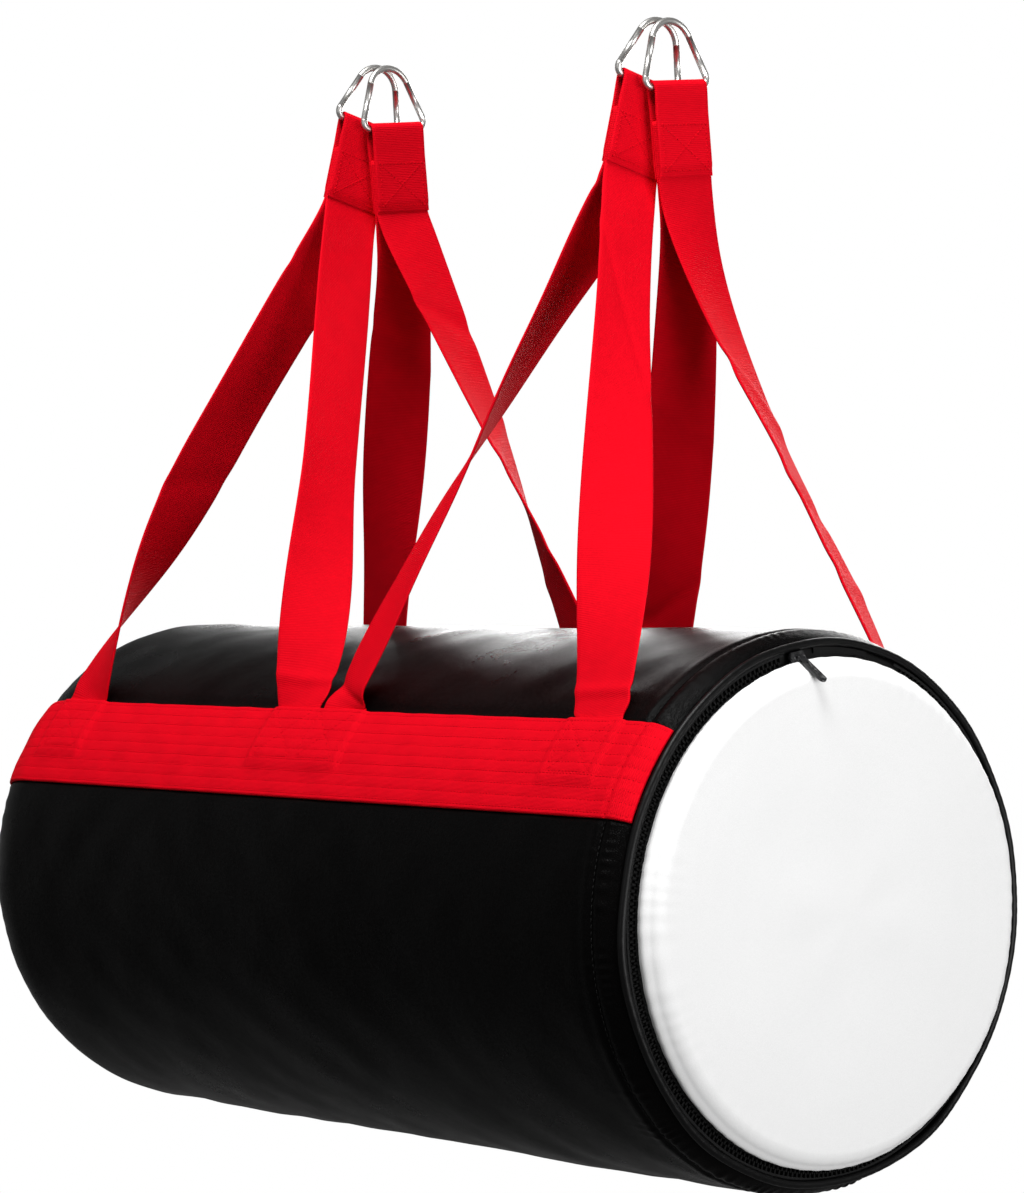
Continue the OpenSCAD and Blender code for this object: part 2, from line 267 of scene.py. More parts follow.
def smooth_copy(node: str, name: str, material: Material, angle: float) -> Object:
    """Copy a rigid CAD node, join its loose triangles and shade it smoothly.

    Args:
        node: CAD node to stand for.
        name: Name of the piece.
        material: Finish of the piece.
        angle: Angle in degrees past which an edge stays sharp.

    Returns:
        The piece, which rides nowhere yet.
    """
    weld = 2e-6
    source = bpy.data.objects[node]
    work = bmesh.new()
    work.from_mesh(source.data)
    bmesh.ops.remove_doubles(work, verts=work.verts, dist=weld)
    mesh = bpy.data.meshes.new(name)
    work.to_mesh(mesh)
    work.free()
    mesh.materials.clear()
    mesh.materials.append(material)
    mesh.shade_smooth()
    mesh.set_sharp_from_angle(angle=math.radians(angle))
    return new_object(name, mesh)


@dataclass(frozen=True)
class Ripples:
    """Seeded smooth waves over the bag's wall, periodic around it.

    Attributes:
        seed: Seed of the waves.
        count: Number of waves.
        along: Shortest and longest wave length along the bag, in metres.
        around: Fewest and most waves around the bag.
    """

    seed: int
    count: int
    along: tuple[float, float]
    around: tuple[int, int]

    def at(self, x: np.ndarray, angle: np.ndarray) -> np.ndarray:
        """Return the height of the waves, with a spread of about 1.

        Args:
            x: Places along the bag in metres.
            angle: Angles around the bag in radians.

        Returns:
            The heights.
        """
        rng = np.random.default_rng(self.seed)
        total = np.zeros(np.broadcast(x, angle).shape)
        for _ in range(self.count):
            wave = FULL_TURN / rng.uniform(*self.along) * rng.choice([-1, 1])
            turns = int(rng.integers(self.around[0], self.around[1] + 1))
            total += np.cos(wave * x + turns * angle + rng.uniform(0, FULL_TURN))
        return total / math.sqrt(self.count / 2)


def round_waves(seed: int, count: int, around: tuple[int, int], angle: np.ndarray) -> np.ndarray:
    """Return seeded smooth waves that run round the bag and stay the same along it."""
    return Ripples(seed, count, LONG_WAVES, around).at(np.zeros(1), angle)


def turns(count: int) -> np.ndarray:
    """Return the angles of equal steps round a full turn."""
    return np.arange(count) * FULL_TURN / count


def from_top(angle: np.ndarray) -> np.ndarray:
    """Return how far an angle lies from the bag's top, on either side."""
    return np.abs((angle + math.pi) % FULL_TURN - math.pi)


# -------------------------------------------------------------------------- finishes


class ShaderSketch:
    """Small helper that writes the node tree of one material."""

    def __init__(self, name: str) -> None:
        """Start an empty material with its shader and output."""
        self.material = bpy.data.materials.new(name)
        self.material.use_nodes = True
        self.tree = self.material.node_tree
        self.tree.nodes.clear()
        self.shader = self.tree.nodes.new("ShaderNodeBsdfPrincipled")
        output = self.tree.nodes.new("ShaderNodeOutputMaterial")
        self.tree.links.new(self.shader.outputs[0], output.inputs[0])

    def node(self, kind: str, **values: object) -> bpy.types.Node:
        """Add a node and set its properties.

        Args:
            kind: Node type.
            **values: Properties by name.

        Returns:
            The node.
        """
        made = self.tree.nodes.new(kind)
        for key, value in values.items():
            setattr(made, key, value)
        return made

    def link(self, source: Socket, target: Socket) -> None:
        """Join two sockets."""
        self.tree.links.new(source, target)

    def constant(self, **values: object) -> None:
        """Set the shader's own sockets; an underscore stands for a space."""
        for key, value in values.items():
            self.shader.inputs[key.replace("_", " ")].default_value = value

    def place(self, source: str, scale: Sequence[float] = (1, 1, 1)) -> Socket:
        """Return scaled coordinates of the piece.

        Args:
            source: "Object" or "UV".
            scale: Factor along each axis.

        Returns:
            The vector socket.
        """
        if source == "UV":
            uv = self.node("ShaderNodeUVMap", uv_map="cloth")
            out = uv.outputs[0]
        else:
            out = self.node("ShaderNodeTexCoord").outputs["Object"]
        mapping = self.node("ShaderNodeMapping")
        mapping.inputs["Scale"].default_value = tuple(scale)
        self.link(out, mapping.inputs["Vector"])
        return mapping.outputs[0]

    def noise(
        self, place: Socket, scale: float, detail: float = 4.0, rough: float = 0.5
    ) -> Socket:
        """Return a noise value from 0 to 1."""
        made = self.node("ShaderNodeTexNoise")
        made.inputs["Scale"].default_value = scale
        made.inputs["Detail"].default_value = detail
        made.inputs["Roughness"].default_value = rough
        self.link(place, made.inputs["Vector"])
        return made.outputs["Fac"]

    def cells(
        self, place: Socket, scale: float, feature: str = "DISTANCE_TO_EDGE"
    ) -> Socket:
        """Return the distance of a cell pattern."""
        made = self.node("ShaderNodeTexVoronoi", feature=feature)
        made.inputs["Scale"].default_value = scale
        self.link(place, made.inputs["Vector"])
        return made.outputs["Distance"]

    def bands(
        self, place: Socket, axis: str, pitch: float, distortion: float = 0.0
    ) -> Socket:
        """Return a wave with the given pitch along one axis of the coordinates."""
        made = self.node("ShaderNodeTexWave", wave_type="BANDS", bands_direction=axis)
        made.inputs["Scale"].default_value = math.pi / (10 * pitch)
        made.inputs["Distortion"].default_value = distortion
        made.inputs["Detail"].default_value = 1.0
        self.link(place, made.inputs["Vector"])
        return made.outputs["Fac"]

    def math(self, operation: str, *values: object) -> Socket:
        """Return the result of a math node on sockets or numbers."""
        made = self.node("ShaderNodeMath", operation=operation)
        for socket, value in zip(made.inputs, values):
            if isinstance(value, (int, float)):
                socket.default_value = value
            else:
                self.link(value, socket)
        return made.outputs[0]

    def ramp(
        self,
        value: Socket,
        low: float = 0.3,
        high: float = 0.7,
        out: tuple[float, float] = (0, 1),
    ) -> Socket:
        """Map a value from low..high to a range, clamped."""
        made = self.node("ShaderNodeMapRange", clamp=True)
        for key, number in zip(("From Min", "From Max", "To Min", "To Max"), (low, high, *out)):
            made.inputs[key].default_value = number
        self.link(value, made.inputs["Value"])
        return made.outputs[0]

    def mix(self, factor: Socket, a: Colour, b: Colour) -> Socket:
        """Mix two colours by a factor."""
        made = self.node("ShaderNodeMix", data_type="RGBA")
        self.link(factor, made.inputs[0])
        for socket, colour in ((made.inputs[6], a), (made.inputs[7], b)):
            socket.default_value = (*colour, 1.0)
        return made.outputs[2]

    def relief(
        self,
        height: Socket,
        depth: float,
        strength: float = 1.0,
        under: Socket | None = None,
    ) -> Socket:
        """Return a normal from a height, laid over another relief."""
        made = self.node("ShaderNodeBump")
        made.inputs["Distance"].default_value = depth
        made.inputs["Strength"].default_value = strength
        self.link(height, made.inputs["Height"])
        if under is not None:
            self.link(under, made.inputs["Normal"])
        return made.outputs[0]

    def finish(
        self,
        colour: Socket | None = None,
        roughness: Socket | None = None,
        normal: Socket | None = None,
    ) -> Material:
        """Join the last sockets to the shader and return the material."""
        for socket, key in ((colour, "Base Color"), (roughness, "Roughness"), (normal, "Normal")):
            if socket is not None:
                self.link(socket, self.shader.inputs[key])
        return self.material


@dataclass(frozen=True)
class Leather:
    """Synthetic leather with pebble grain, soft creases and worn patches.

    Attributes:
        colour: Colour of the raised grain.
        valley: Colour in the valleys of the grain.
        grain: Size of a pebble in metres.
        grain_depth: Depth of the grain.
        crease_depth: Depth of the soft creases.
        roughness: Lowest and highest roughness.
        specular: Specular level.
        ior: Index of refraction, which sets the sheen at a glance.
    """

    colour: Colour
    valley: Colour
    grain: float
    grain_depth: float
    crease_depth: float
    roughness: tuple[float, float]
    specular: float
    ior: float = 1.13

    def build(self, name: str) -> Material:
        """Build the material under this name."""
        s = ShaderSketch(name)
        place = s.place("Object")
        grain = s.ramp(s.cells(place, 1 / self.grain), 0.0, 0.35)
        fine = s.noise(place, 2.4 / self.grain, 2.0)
        patches = s.noise(place, 9.0, 5.0, 0.6)
        creases = s.noise(place, 34.0, 6.0, 0.62)
        tone = s.math("MULTIPLY", grain, s.ramp(patches, out=(0.6, 1.0)))
        s.constant(Specular_IOR_Level=self.specular, IOR=self.ior)
        normal = s.relief(creases, self.crease_depth, 0.6)
        pebbles = s.math("ADD", grain, s.math("MULTIPLY", fine, 0.4))
        normal = s.relief(pebbles, self.grain_depth, 0.7, normal)
        rough = s.ramp(patches, out=self.roughness)
        return s.finish(s.mix(tone, self.valley, self.colour), rough, normal)


@dataclass(frozen=True)
class Webbing:
    """Woven strap: weft ribs across, warp columns along and denser selvedges.

    Attributes:
        colour: Colour of the yarn.
        shade: Colour between the yarns.
        rib: Pitch of the weft ribs along the strap, in centimetres.
        column: Pitch of the warp columns across it, in centimetres.
        depth: Depth of the weave in metres.
    """

    colour: Colour
    shade: Colour
    rib: float
    column: float
    depth: float

    def build(self, name: str) -> Material:
        """Build the material under this name."""
        s = ShaderSketch(name)
        cloth = s.place("UV")
        ribs = s.bands(cloth, "Y", self.rib, 0.4)
        columns = s.bands(cloth, "X", self.column, 0.3)
        weave = s.math("MULTIPLY", s.math("ADD", ribs, 0.35), s.math("ADD", columns, 0.55))
        fuzz = s.noise(cloth, 26.0, 3.0)
        wear = s.noise(cloth, 0.55, 4.0, 0.6)
        faded = s.ramp(wear, 0.25, 0.75, (0.72, 1.0))
        tone = s.math("MULTIPLY", s.ramp(weave, 0.1, 1.6, (0.4, 1.0)), faded)
        s.constant(Specular_IOR_Level=0.05)
        height = s.math("ADD", weave, s.math("MULTIPLY", fuzz, 0.35))
        normal = s.relief(height, self.depth, 0.8)
        rough = s.ramp(fuzz, out=(0.62, 0.8))
        return s.finish(s.mix(tone, self.shade, self.colour), rough, normal)


@dataclass(frozen=True)
class Metal:
    """Plated or painted metal with fine scratches and dulled patches.

    Attributes:
        colour: Colour of the surface.
        worn: Colour where it is dulled or rubbed.
        metallic: Share of bare metal.
        roughness: Lowest and highest roughness.
        scratch: Depth of the scratches in metres.
    """

    colour: Colour
    worn: Colour
    metallic: float
    roughness: tuple[float, float]
    scratch: float

    def build(self, name: str) -> Material:
        """Build the material under this name."""
        s = ShaderSketch(name)
        place = s.place("Object")
        patches = s.noise(place, 160.0, 5.0, 0.6)
        lines = s.noise(s.place("Object", (1, 1, 7)), 900.0, 2.0)
        s.constant(Metallic=self.metallic)
        normal = s.relief(lines, self.scratch, 0.5)
        tone = s.ramp(patches, 0.52, 0.72)
        rough = s.ramp(patches, 0.3, 0.75, self.roughness)
        return s.finish(s.mix(tone, self.colour, self.worn), rough, normal)


@dataclass(frozen=True)
class Cloth:
    """Plain woven cloth on flat or turned pieces, such as tape and canvas.

    Attributes:
        colour: Colour of the yarn.
        shade: Colour between the yarns.
        pitch: Pitch of the weave in metres.
        depth: Depth of the weave in metres.
    """

    colour: Colour
    shade: Colour
    pitch: float
    depth: float

    def build(self, name: str) -> Material:
        """Build the material under this name."""
        s = ShaderSketch(name)
        place = s.place("Object")
        along = s.bands(place, "X", self.pitch, 0.3)
        across = s.bands(place, "Y", self.pitch, 0.3)
        up = s.bands(place, "Z", self.pitch, 0.3)
        weave = s.math("MULTIPLY", s.math("ADD", along, across), s.math("ADD", up, 0.3))
        stain = s.noise(place, 22.0, 5.0, 0.6)
        faded = s.ramp(stain, out=(0.75, 1.0))
        tone = s.math("MULTIPLY", s.ramp(weave, 0.1, 1.8, (0.2, 1.0)), faded)
        s.constant(Specular_IOR_Level=0.2, Sheen_Weight=0.1)
        rough = s.ramp(stain, out=(0.75, 0.9))
        normal = s.relief(weave, self.depth, 0.8)
        return s.finish(s.mix(tone, self.shade, self.colour), rough, normal)


@dataclass(frozen=True)
class Crumb:
    """Crumbly or open-celled stuff: foam, shredded filling, moulded plastic.

    Attributes:
        colour: Colour of the surface.
        shade: Colour in the pores.
        cell: Size of a cell in metres.
        depth: Depth of the cells in metres.
        roughness: Lowest and highest roughness.
        specular: Specular level.
    """

    colour: Colour
    shade: Colour
    cell: float
    depth: float
    roughness: tuple[float, float]
    specular: float = 0.3

    def build(self, name: str) -> Material:
        """Build the material under this name."""
        s = ShaderSketch(name)
        s.constant(Specular_IOR_Level=self.specular)
        place = s.place("Object")
        cells = s.ramp(s.cells(place, 1 / self.cell, "F1"), 0.1, 0.8)
        grit = s.noise(place, 3 / self.cell, 3.0)
        patches = s.noise(place, 14.0, 5.0)
        faded = s.ramp(patches, out=(0.8, 1.0))
        tone = s.math("MULTIPLY", s.ramp(grit, out=(0.5, 1.0)), faded)
        rough = s.ramp(grit, out=self.roughness)
        normal = s.relief(s.math("ADD", cells, grit), self.depth, 0.7)
        return s.finish(s.mix(tone, self.shade, self.colour), rough, normal)


@dataclass(frozen=True)
class Thread:
    """Twisted sewing thread.

    Attributes:
        colour: Colour of the thread.
        shade: Colour in its twist.
        lay: Pitch of the twist in metres.
    """

    colour: Colour
    shade: Colour
    lay: float

    def build(self, name: str) -> Material:
        """Build the material under this name."""
        s = ShaderSketch(name)
        place = s.place("Object")
        twist = s.bands(place, "DIAGONAL", self.lay, 0.5)
        s.constant(Specular_IOR_Level=0.06)
        tone = s.ramp(twist, 0.1, 0.8)
        rough = s.ramp(twist, 0, 1, (0.5, 0.7))
        return s.finish(s.mix(tone, self.shade, self.colour), rough, s.relief(twist, 0.0001, 0.6))


@dataclass(frozen=True)
class Finishes:
    """All finishes of the bag, by the record's slot or by use."""

    black_leather: Leather = Leather(
        colour=(0.0018, 0.0016, 0.0016),
        valley=(0.0006, 0.0005, 0.0005),
        grain=0.0011,
        grain_depth=0.00016,
        crease_depth=0.0009,
        roughness=(0.24, 0.38),
        specular=0.4,
    )
    white_leather: Leather = Leather(
        colour=(0.88, 0.88, 0.88),
        valley=(0.8, 0.8, 0.8),
        grain=0.0009,
        grain_depth=0.00004,
        crease_depth=0.0004,
        roughness=(0.45, 0.6),
        specular=0.2,
    )
    black_trim: Leather = Leather(
        colour=(0.0028, 0.0028, 0.003),
        valley=(0.001, 0.001, 0.001),
        grain=0.0008,
        grain_depth=0.00005,
        crease_depth=0.0006,
        roughness=(0.3, 0.45),
        specular=0.5,
        ior=1.25,
    )
    red_webbing: Webbing = Webbing(
        colour=(0.88, 0.0008, 0.012),
        shade=(0.5, 0.0, 0.006),
        rib=0.13,
        column=0.085,
        depth=0.00022,
    )
    ring_steel: Metal = Metal(
        colour=(0.62, 0.61, 0.59),
        worn=(0.5, 0.49, 0.46),
        metallic=1.0,
        roughness=(0.32, 0.4),
        scratch=0.000002,
    )
    black_metal: Metal = Metal(
        colour=(0.012, 0.012, 0.013),
        worn=(0.05, 0.05, 0.05),
        metallic=0.3,
        roughness=(0.22, 0.4),
        scratch=0.00004,
    )
    zip_tape: Cloth = Cloth(
        colour=(0.005, 0.005, 0.0055),
        shade=(0.0015, 0.0015, 0.0015),
        pitch=0.0009,
        depth=0.0002,
    )
    zip_teeth: Crumb = Crumb(
        colour=(0.004, 0.004, 0.004),
        shade=(0.002, 0.002, 0.002),
        cell=0.0008,
        depth=0.00003,
        roughness=(0.4, 0.55),
        specular=0.08,
    )
    foam: Crumb = Crumb(
        colour=(0.62, 0.55, 0.38),
        shade=(0.36, 0.3, 0.18),
        cell=0.0022,
        depth=0.0007,
        roughness=(0.85, 0.95),
    )
    canvas: Cloth = Cloth(
        colour=(0.5, 0.46, 0.37),
        shade=(0.24, 0.21, 0.16),
        pitch=0.0016,
        depth=0.0004,
    )
    filling: Crumb = Crumb(
        colour=(0.2, 0.2, 0.23),
        shade=(0.06, 0.06, 0.07),
        cell=0.014,
        depth=0.004,
        roughness=(0.85, 0.95),
    )
    red_thread: Thread = Thread(
        colour=(0.82, 0.0008, 0.011), shade=(0.4, 0.0, 0.005), lay=0.0008
    )
    black_thread: Thread = Thread(
        colour=(0.02, 0.02, 0.02), shade=(0.006, 0.006, 0.006), lay=0.0008
    )

    def build(self) -> dict[str, Material]:
        """Build every finish.

        Returns:
            The materials by name.
        """
        return {name: finish.build(name) for name, finish in vars(self).items()}


# ------------------------------------------------------------------------ bag's form


@dataclass(frozen=True)
class BagForm:
    """Nominal shape of the stuffed body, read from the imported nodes.

    Attributes:
        radius: Outer radius.
        axis_z: Height of the bag's axis.
        far_x: Far face along X.
        near_x: Zipped rim along X.
        far_round: Rounding of the far end.
        rim_round: Rounding towards the rim.
        rim_set: How far that rounding starts before the rim.
        seam_in: How far the near seam lies before the rim.
        band_low: Angle of a band's upper edge from the top, in radians.
        band_high: Angle of a band's lower edge.
    """

    radius: float
    axis_z: float
    far_x: float
    near_x: float
    far_round: float
    rim_round: float
    rim_set: float
    seam_in: float
    band_low: float
    band_high: float

    @classmethod
    def from_frame(
        cls, rim_round: float = 0.024, rim_set: float = 0.018, seam_in: float = 0.0185
    ) -> BagForm:
        """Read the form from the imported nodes.

        Args:
            rim_round: Rounding towards the rim.
            rim_set: How far that rounding starts before the rim.
            seam_in: How far the near seam lies before the rim.

        Returns:
            The form.
        """
        low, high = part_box("outer_shell")
        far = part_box("far_end_panel")[0].x
        axis_z = (low.z + high.z) / 2
        radius = (high.z - low.z) / 2
        b_low, b_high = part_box("front_band")
        far_round = (low.x - far) / (1 - math.sin(SEAM_TILT))
        end_r = radius - far_round * (1 - math.cos(SEAM_TILT))
        return cls(
            radius=radius,
            axis_z=axis_z,
            far_x=far,
            near_x=high.x,
            far_round=far_round,
            rim_round=rim_round,
            rim_set=rim_set,
            seam_in=seam_in,
            band_low=math.asin(-b_high.y / end_r),
            band_high=math.acos((b_low.z - axis_z) / end_r),
        )

    @property
    def band_width(self) -> float:
        """Width of a band along the bag's round wall."""
        return (self.band_high - self.band_low) * self.radius

    @property
    def seam_x(self) -> float:
        """Place of the near seam along the bag."""
        return self.near_x - self.seam_in

    @property
    def far_seam_x(self) -> float:
        """Place of the far seam along the bag."""
        return self.far_x + self.far_round * (1 - math.sin(SEAM_TILT))

    def profile(self, x: np.ndarray) -> tuple[np.ndarray, np.ndarray, np.ndarray]:
        """Return the nominal radius and the profile's normal at places along the bag.

        Args:
            x: Places between the far seam and the rim.

        Returns:
            Radius, and the normal's part along the bag and away from its axis.
        """
        short_of_end = 0.9999
        x = np.asarray(x, float)
        far_c = self.far_x + self.far_round
        near_c = self.near_x - self.rim_set
        d_far = np.clip(far_c - x, 0, self.far_round * short_of_end)
        d_near = np.clip(x - near_c, 0, self.rim_round * short_of_end)
        cos_far = np.sqrt(self.far_round**2 - d_far**2) / self.far_round
        cos_near = np.sqrt(self.rim_round**2 - d_near**2) / self.rim_round
        r = self.radius - self.far_round * (1 - cos_far) - self.rim_round * (1 - cos_near)
        along = -d_far / self.far_round + d_near / self.rim_round
        return r, along, np.sqrt(1 - along**2)

    def point(self, x: np.ndarray, r: np.ndarray, angle: np.ndarray) -> np.ndarray:
        """Turn place, radius and angle from the top towards the front into points."""
        y, z = -r * np.sin(angle), self.axis_z + r * np.cos(angle)
        return np.stack(np.broadcast_arrays(x, y, z), -1)

    def on_wall(self, x: np.ndarray, angle: np.ndarray, lift: np.ndarray | float) -> np.ndarray:
        """Return points that stand off the nominal wall by lift."""
        r, n_x, n_r = self.profile(x)
        return self.point(np.asarray(x) + n_x * lift, r + n_r * lift, angle)

    def band_angle(self, share: np.ndarray | float, side: Side) -> np.ndarray:
        """Angle at a share of a band's width, from its upper to its lower edge."""
        turn = self.band_low + np.asarray(share) * (self.band_high - self.band_low)
        return turn if side is Side.FRONT else -turn

    def puckers(self, x: np.ndarray, angle: np.ndarray) -> np.ndarray:
        """Return the gathered leather's height, 0 to about 1, round the near seam.

        Args:
            x: Places along the bag.
            angle: Angles from the top towards the front.

        Returns:
            The heights: close puckers outside the seam and wide ones inside it.
        """
        close_count, wide_count = 142, 83
        calm_top, calm_fade = 0.75, 0.4
        drift = round_waves(5, 9, (2, 13), angle)
        size = np.clip(0.62 + 0.4 * round_waves(8, 9, (9, 38), angle), 0.1, 1.3)
        past = x - self.seam_x
        slant = past * (60 + 40 * round_waves(12, 5, (3, 9), angle))
        close = (0.5 + 0.5 * np.cos(close_count * angle + 3.0 * drift + slant)) ** 1.5
        wide = (0.5 + 0.5 * np.cos(wide_count * angle + 3.4 * drift - 0.6 * slant)) ** 2.2
        outside = smooth_step(past / 0.0035) * (1 - smooth_step((past - 0.008) / 0.0085))
        inside = np.exp(-np.clip(-past, 0, 1) / 0.011) * smooth_step(-past / 0.003)
        strength = 0.25 + 0.75 * smooth_step((from_top(angle) - calm_top) / calm_fade)
        return size * (outside * close + 0.75 * inside * wide) * strength


@dataclass
class BagBody:
    """Stuffed leather body: wall, rounded far end, seams and gathers.

    Attributes:
        form: The bag's form.
        finish: Its leather.
        anchors: Places along the bag where the straps pull.
        columns: Points round the bag.
        wall: Thickness of the leather and its lining.
        stand: How far the stuffed wall stands out between the bands.
        deepest: Depth that no hollow passes.
        long_swell: Height of the long ripples.
        short_swell: Height of the short ripples.
        seam_depth: Depth of the near seam.
        far_seam_depth: Depth of the far seam.
        pucker: Height of the puckers round the near seam.
        gather: Height of the gathers round the far seam.
        pull: How far the straps draw the leather up over a band.
        sag: How far the top lies in.
        under_band: How far the leather lies in under a band.
    """

    form: BagForm
    finish: Material
    anchors: Sequence[float]
    columns: int = 900
    wall: float = 0.004
    stand: float = 0.0007
    deepest: float = 0.0013
    long_swell: float = 0.00045
    short_swell: float = 0.00022
    seam_depth: float = 0.0021
    far_seam_depth: float = 0.0016
    pucker: float = 0.0009
    gather: float = 0.0009
    pull: float = 0.0026
    sag: float = 0.0016
    under_band: float = 0.0006

    def band_mask(self, x: np.ndarray, angle: np.ndarray) -> np.ndarray:
        """Return 1 under the two bands and 0 away from them."""
        f, edge = self.form, 0.012
        turn = from_top(angle)
        inside = smooth_step((turn - f.band_low + edge) / edge)
        inside = inside * smooth_step((f.band_high + edge - turn) / edge)
        far = smooth_step((x - f.far_seam_x + 0.006) / 0.006)
        return inside * far * (1 - smooth_step((x - f.near_x + 0.004) / 0.003))

    def lift(self, x: np.ndarray, angle: np.ndarray) -> np.ndarray:
        """Return how far the leather stands off its nominal wall.

        Args:
            x: Places along the bag.
            angle: Angles from the top towards the front.

        Returns:
            Lift in metres.
        """
        f = self.form
        seam = x - f.seam_x
        far = x - f.far_seam_x
        off_far = np.abs(far)
        turn = from_top(angle)
        soft = self.long_swell * Ripples(21, 14, (0.11, 0.4), (0, 7)).at(x, angle)
        soft += self.short_swell * Ripples(22, 18, (0.03, 0.09), (4, 24)).at(x, angle)
        body = smooth_step(far / 0.03) * (1 - smooth_step((seam + 0.02) / 0.02))
        total = soft * (0.25 + 0.75 * body)
        total += -self.seam_depth * bump(seam, 0.0019)
        total += 0.0007 * bump(seam + 0.006, 0.004) + 0.0005 * bump(seam - 0.006, 0.003)
        total += self.pucker * (f.puckers(x, angle) - 0.35 * bump(seam, 0.012))
        total += -self.far_seam_depth * bump(far, 0.002) + 0.0006 * bump(off_far - 0.006, 0.004)
        fold = (0.5 + 0.5 * np.cos(88 * angle + 2 * round_waves(31, 7, (2, 11), angle))) ** 1.6
        total += self.gather * fold * np.exp(-off_far / 0.012) * smooth_step(off_far / 0.003)
        for place in self.anchors:
            drawn = bump(x - place, 0.034) * bump(turn - f.band_low + 0.09, 0.085)
            total += self.pull * drawn
        total += -self.sag * bump(turn, 0.5) * body
        total += -0.0009 * bump(np.abs(turn - f.band_low + 0.012), 0.03) * body
        mask = self.band_mask(x, angle)
        total = np.maximum(total + self.stand * body, -self.deepest)
        return total * (1 - mask) - self.under_band * mask

    def outer_rows(self) -> np.ndarray:
        """Return place, radius and normal of each row, from the far end's middle to the rim."""
        f = self.form
        far_c, cap_r = f.far_x + f.far_round, f.radius - f.far_round
        rows = [(f.far_x, r, -1.0, 0.0) for r in np.linspace(0.0005, cap_r, 12)[:-1]]
        for a in np.linspace(0, math.pi / 2, 26)[:-1]:
            cos, sin = math.cos(a), math.sin(a)
            rows.append((far_c - f.far_round * cos, cap_r + f.far_round * sin, -cos, sin))
        fine, seam_end = f.seam_x - 0.045, f.seam_x + 0.006
        near = np.concatenate([
            np.linspace(far_c, fine, 58)[:-1],
            np.linspace(fine, seam_end, 34)[:-1],
            np.linspace(seam_end, f.near_x, 14),
        ])
        r, n_x, n_r = f.profile(near)
        return np.array(rows + list(zip(near, r, n_x, n_r)))

    def inner_rows(self, rim_r: float) -> list[tuple[float, float]]:
        """Return place and radius of each row of the lining, from the rim to the far end."""
        f = self.form
        far_c, cap_r = f.far_x + f.far_round, f.radius - f.far_round
        inside_r, bend = f.radius - 0.0048, f.far_round - self.wall
        rows = [(f.near_x + 0.0004, rim_r - 0.0009), (f.near_x - 0.0008, rim_r - 0.0026)]
        rows += [(f.seam_x - 0.004, rim_r - 0.003), (f.seam_x - 0.03, inside_r)]
        rows += [(far_c, inside_r)]
        for a in np.linspace(math.pi / 2, 0, 9)[1:]:
            rows.append((far_c - bend * math.cos(a), cap_r + bend * math.sin(a)))
        return rows + [(f.far_x + self.wall, cap_r * 0.5), (f.far_x + self.wall, 0.0005)]

    def build(self) -> Object:
        """Build the leather body as one closed shell.

        Returns:
            The piece.
        """
        angle = turns(self.columns)
        table = self.outer_rows()
        x, r = table[:, 0:1], table[:, 1:2]
        lift = self.lift(np.broadcast_to(x, (len(table), self.columns)), angle[None, :])
        lift *= smooth_step((r - 0.01) / 0.08)
        place, radius = x + table[:, 2:3] * lift, r + table[:, 3:4] * lift
        outer = self.form.point(place, radius, angle[None, :])
        inner = self.inner_rows(float(r[-1, 0]))
        back = np.stack([self.form.point(a, b, angle) for a, b in inner])
        piece = tube_object("bag_leather", np.concatenate([outer, back]), self.finish)
        dress(piece, "bag", "black_leather", "outer_shell", "far_end_panel")
        return piece


@dataclass
class RimWelt:
    """Piped welt round the zipped rim.

    Attributes:
        form: The bag's form.
        finish: Its leather.
        around: Points round the bag.
        section: Points round the cord.
    """

    form: BagForm
    finish: Material
    around: int = 540
    section: int = 18

    def build(self) -> Object:
        """Build the welt as a slightly puckered ring of cord under leather."""
        low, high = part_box("rim_welt")
        thick = (high.x - low.x) / 2
        mid_r = (high.z - low.z) / 2 - thick
        mid_x = (low.x + high.x) / 2
        angle = turns(self.around)[:, None]
        turn = turns(self.section)[None, :]
        drift = round_waves(41, 9, (3, 17), angle)
        pucker = 0.00009 * np.cos(118 * angle + 2 * drift) * (0.6 + 0.4 * np.sin(turn))
        wander = 0.0005 * round_waves(43, 9, (3, 15), angle)
        radius = thick + pucker - 0.00005
        x, r = mid_x + radius * np.sin(turn), mid_r + wander + radius * np.cos(turn)
        loops = self.form.point(x, r, angle)
        piece = tube_object("rim_piping", loops, self.finish, ring=True)
        dress(piece, "bag", "black_trim", "rim_welt")
        return piece


@dataclass
class ZipGusset:
    """Leather facing sewn inside the rim, behind the zip.

    Attributes:
        form: The bag's form.
        finish: Its leather.
        stand: How far it stands before the rim.
        thick: Its thickness.
        reach: Its width towards the axis.
        around: Points round the bag.
    """

    form: BagForm
    finish: Material
    stand: float = 0.0007
    thick: float = 0.0009
    reach: float = 0.016
    around: int = 360

    def build(self) -> Object:
        """Build the facing as a thin, slightly waved ring."""
        low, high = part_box("rim_welt")
        outer = (high.z - low.z) / 2 - (high.x - low.x) + 0.0012
        angle = turns(self.around)[:, None]
        share = np.linspace(0, 1, 7)
        wave = 0.00025 * round_waves(71, 12, (5, 60), angle)
        radius = outer - share * self.reach
        face = np.repeat([self.stand + self.thick, self.stand], len(share))
        both = np.concatenate([radius, radius[::-1]])
        place = self.form.near_x + face[None, :] + wave * 0.5
        loops = self.form.point(place, both[None, :] + 0 * angle, angle)
        piece = tube_object("zip_gusset", loops, self.finish, ring=True)
        dress(piece, "bag", "black_trim")
        return piece


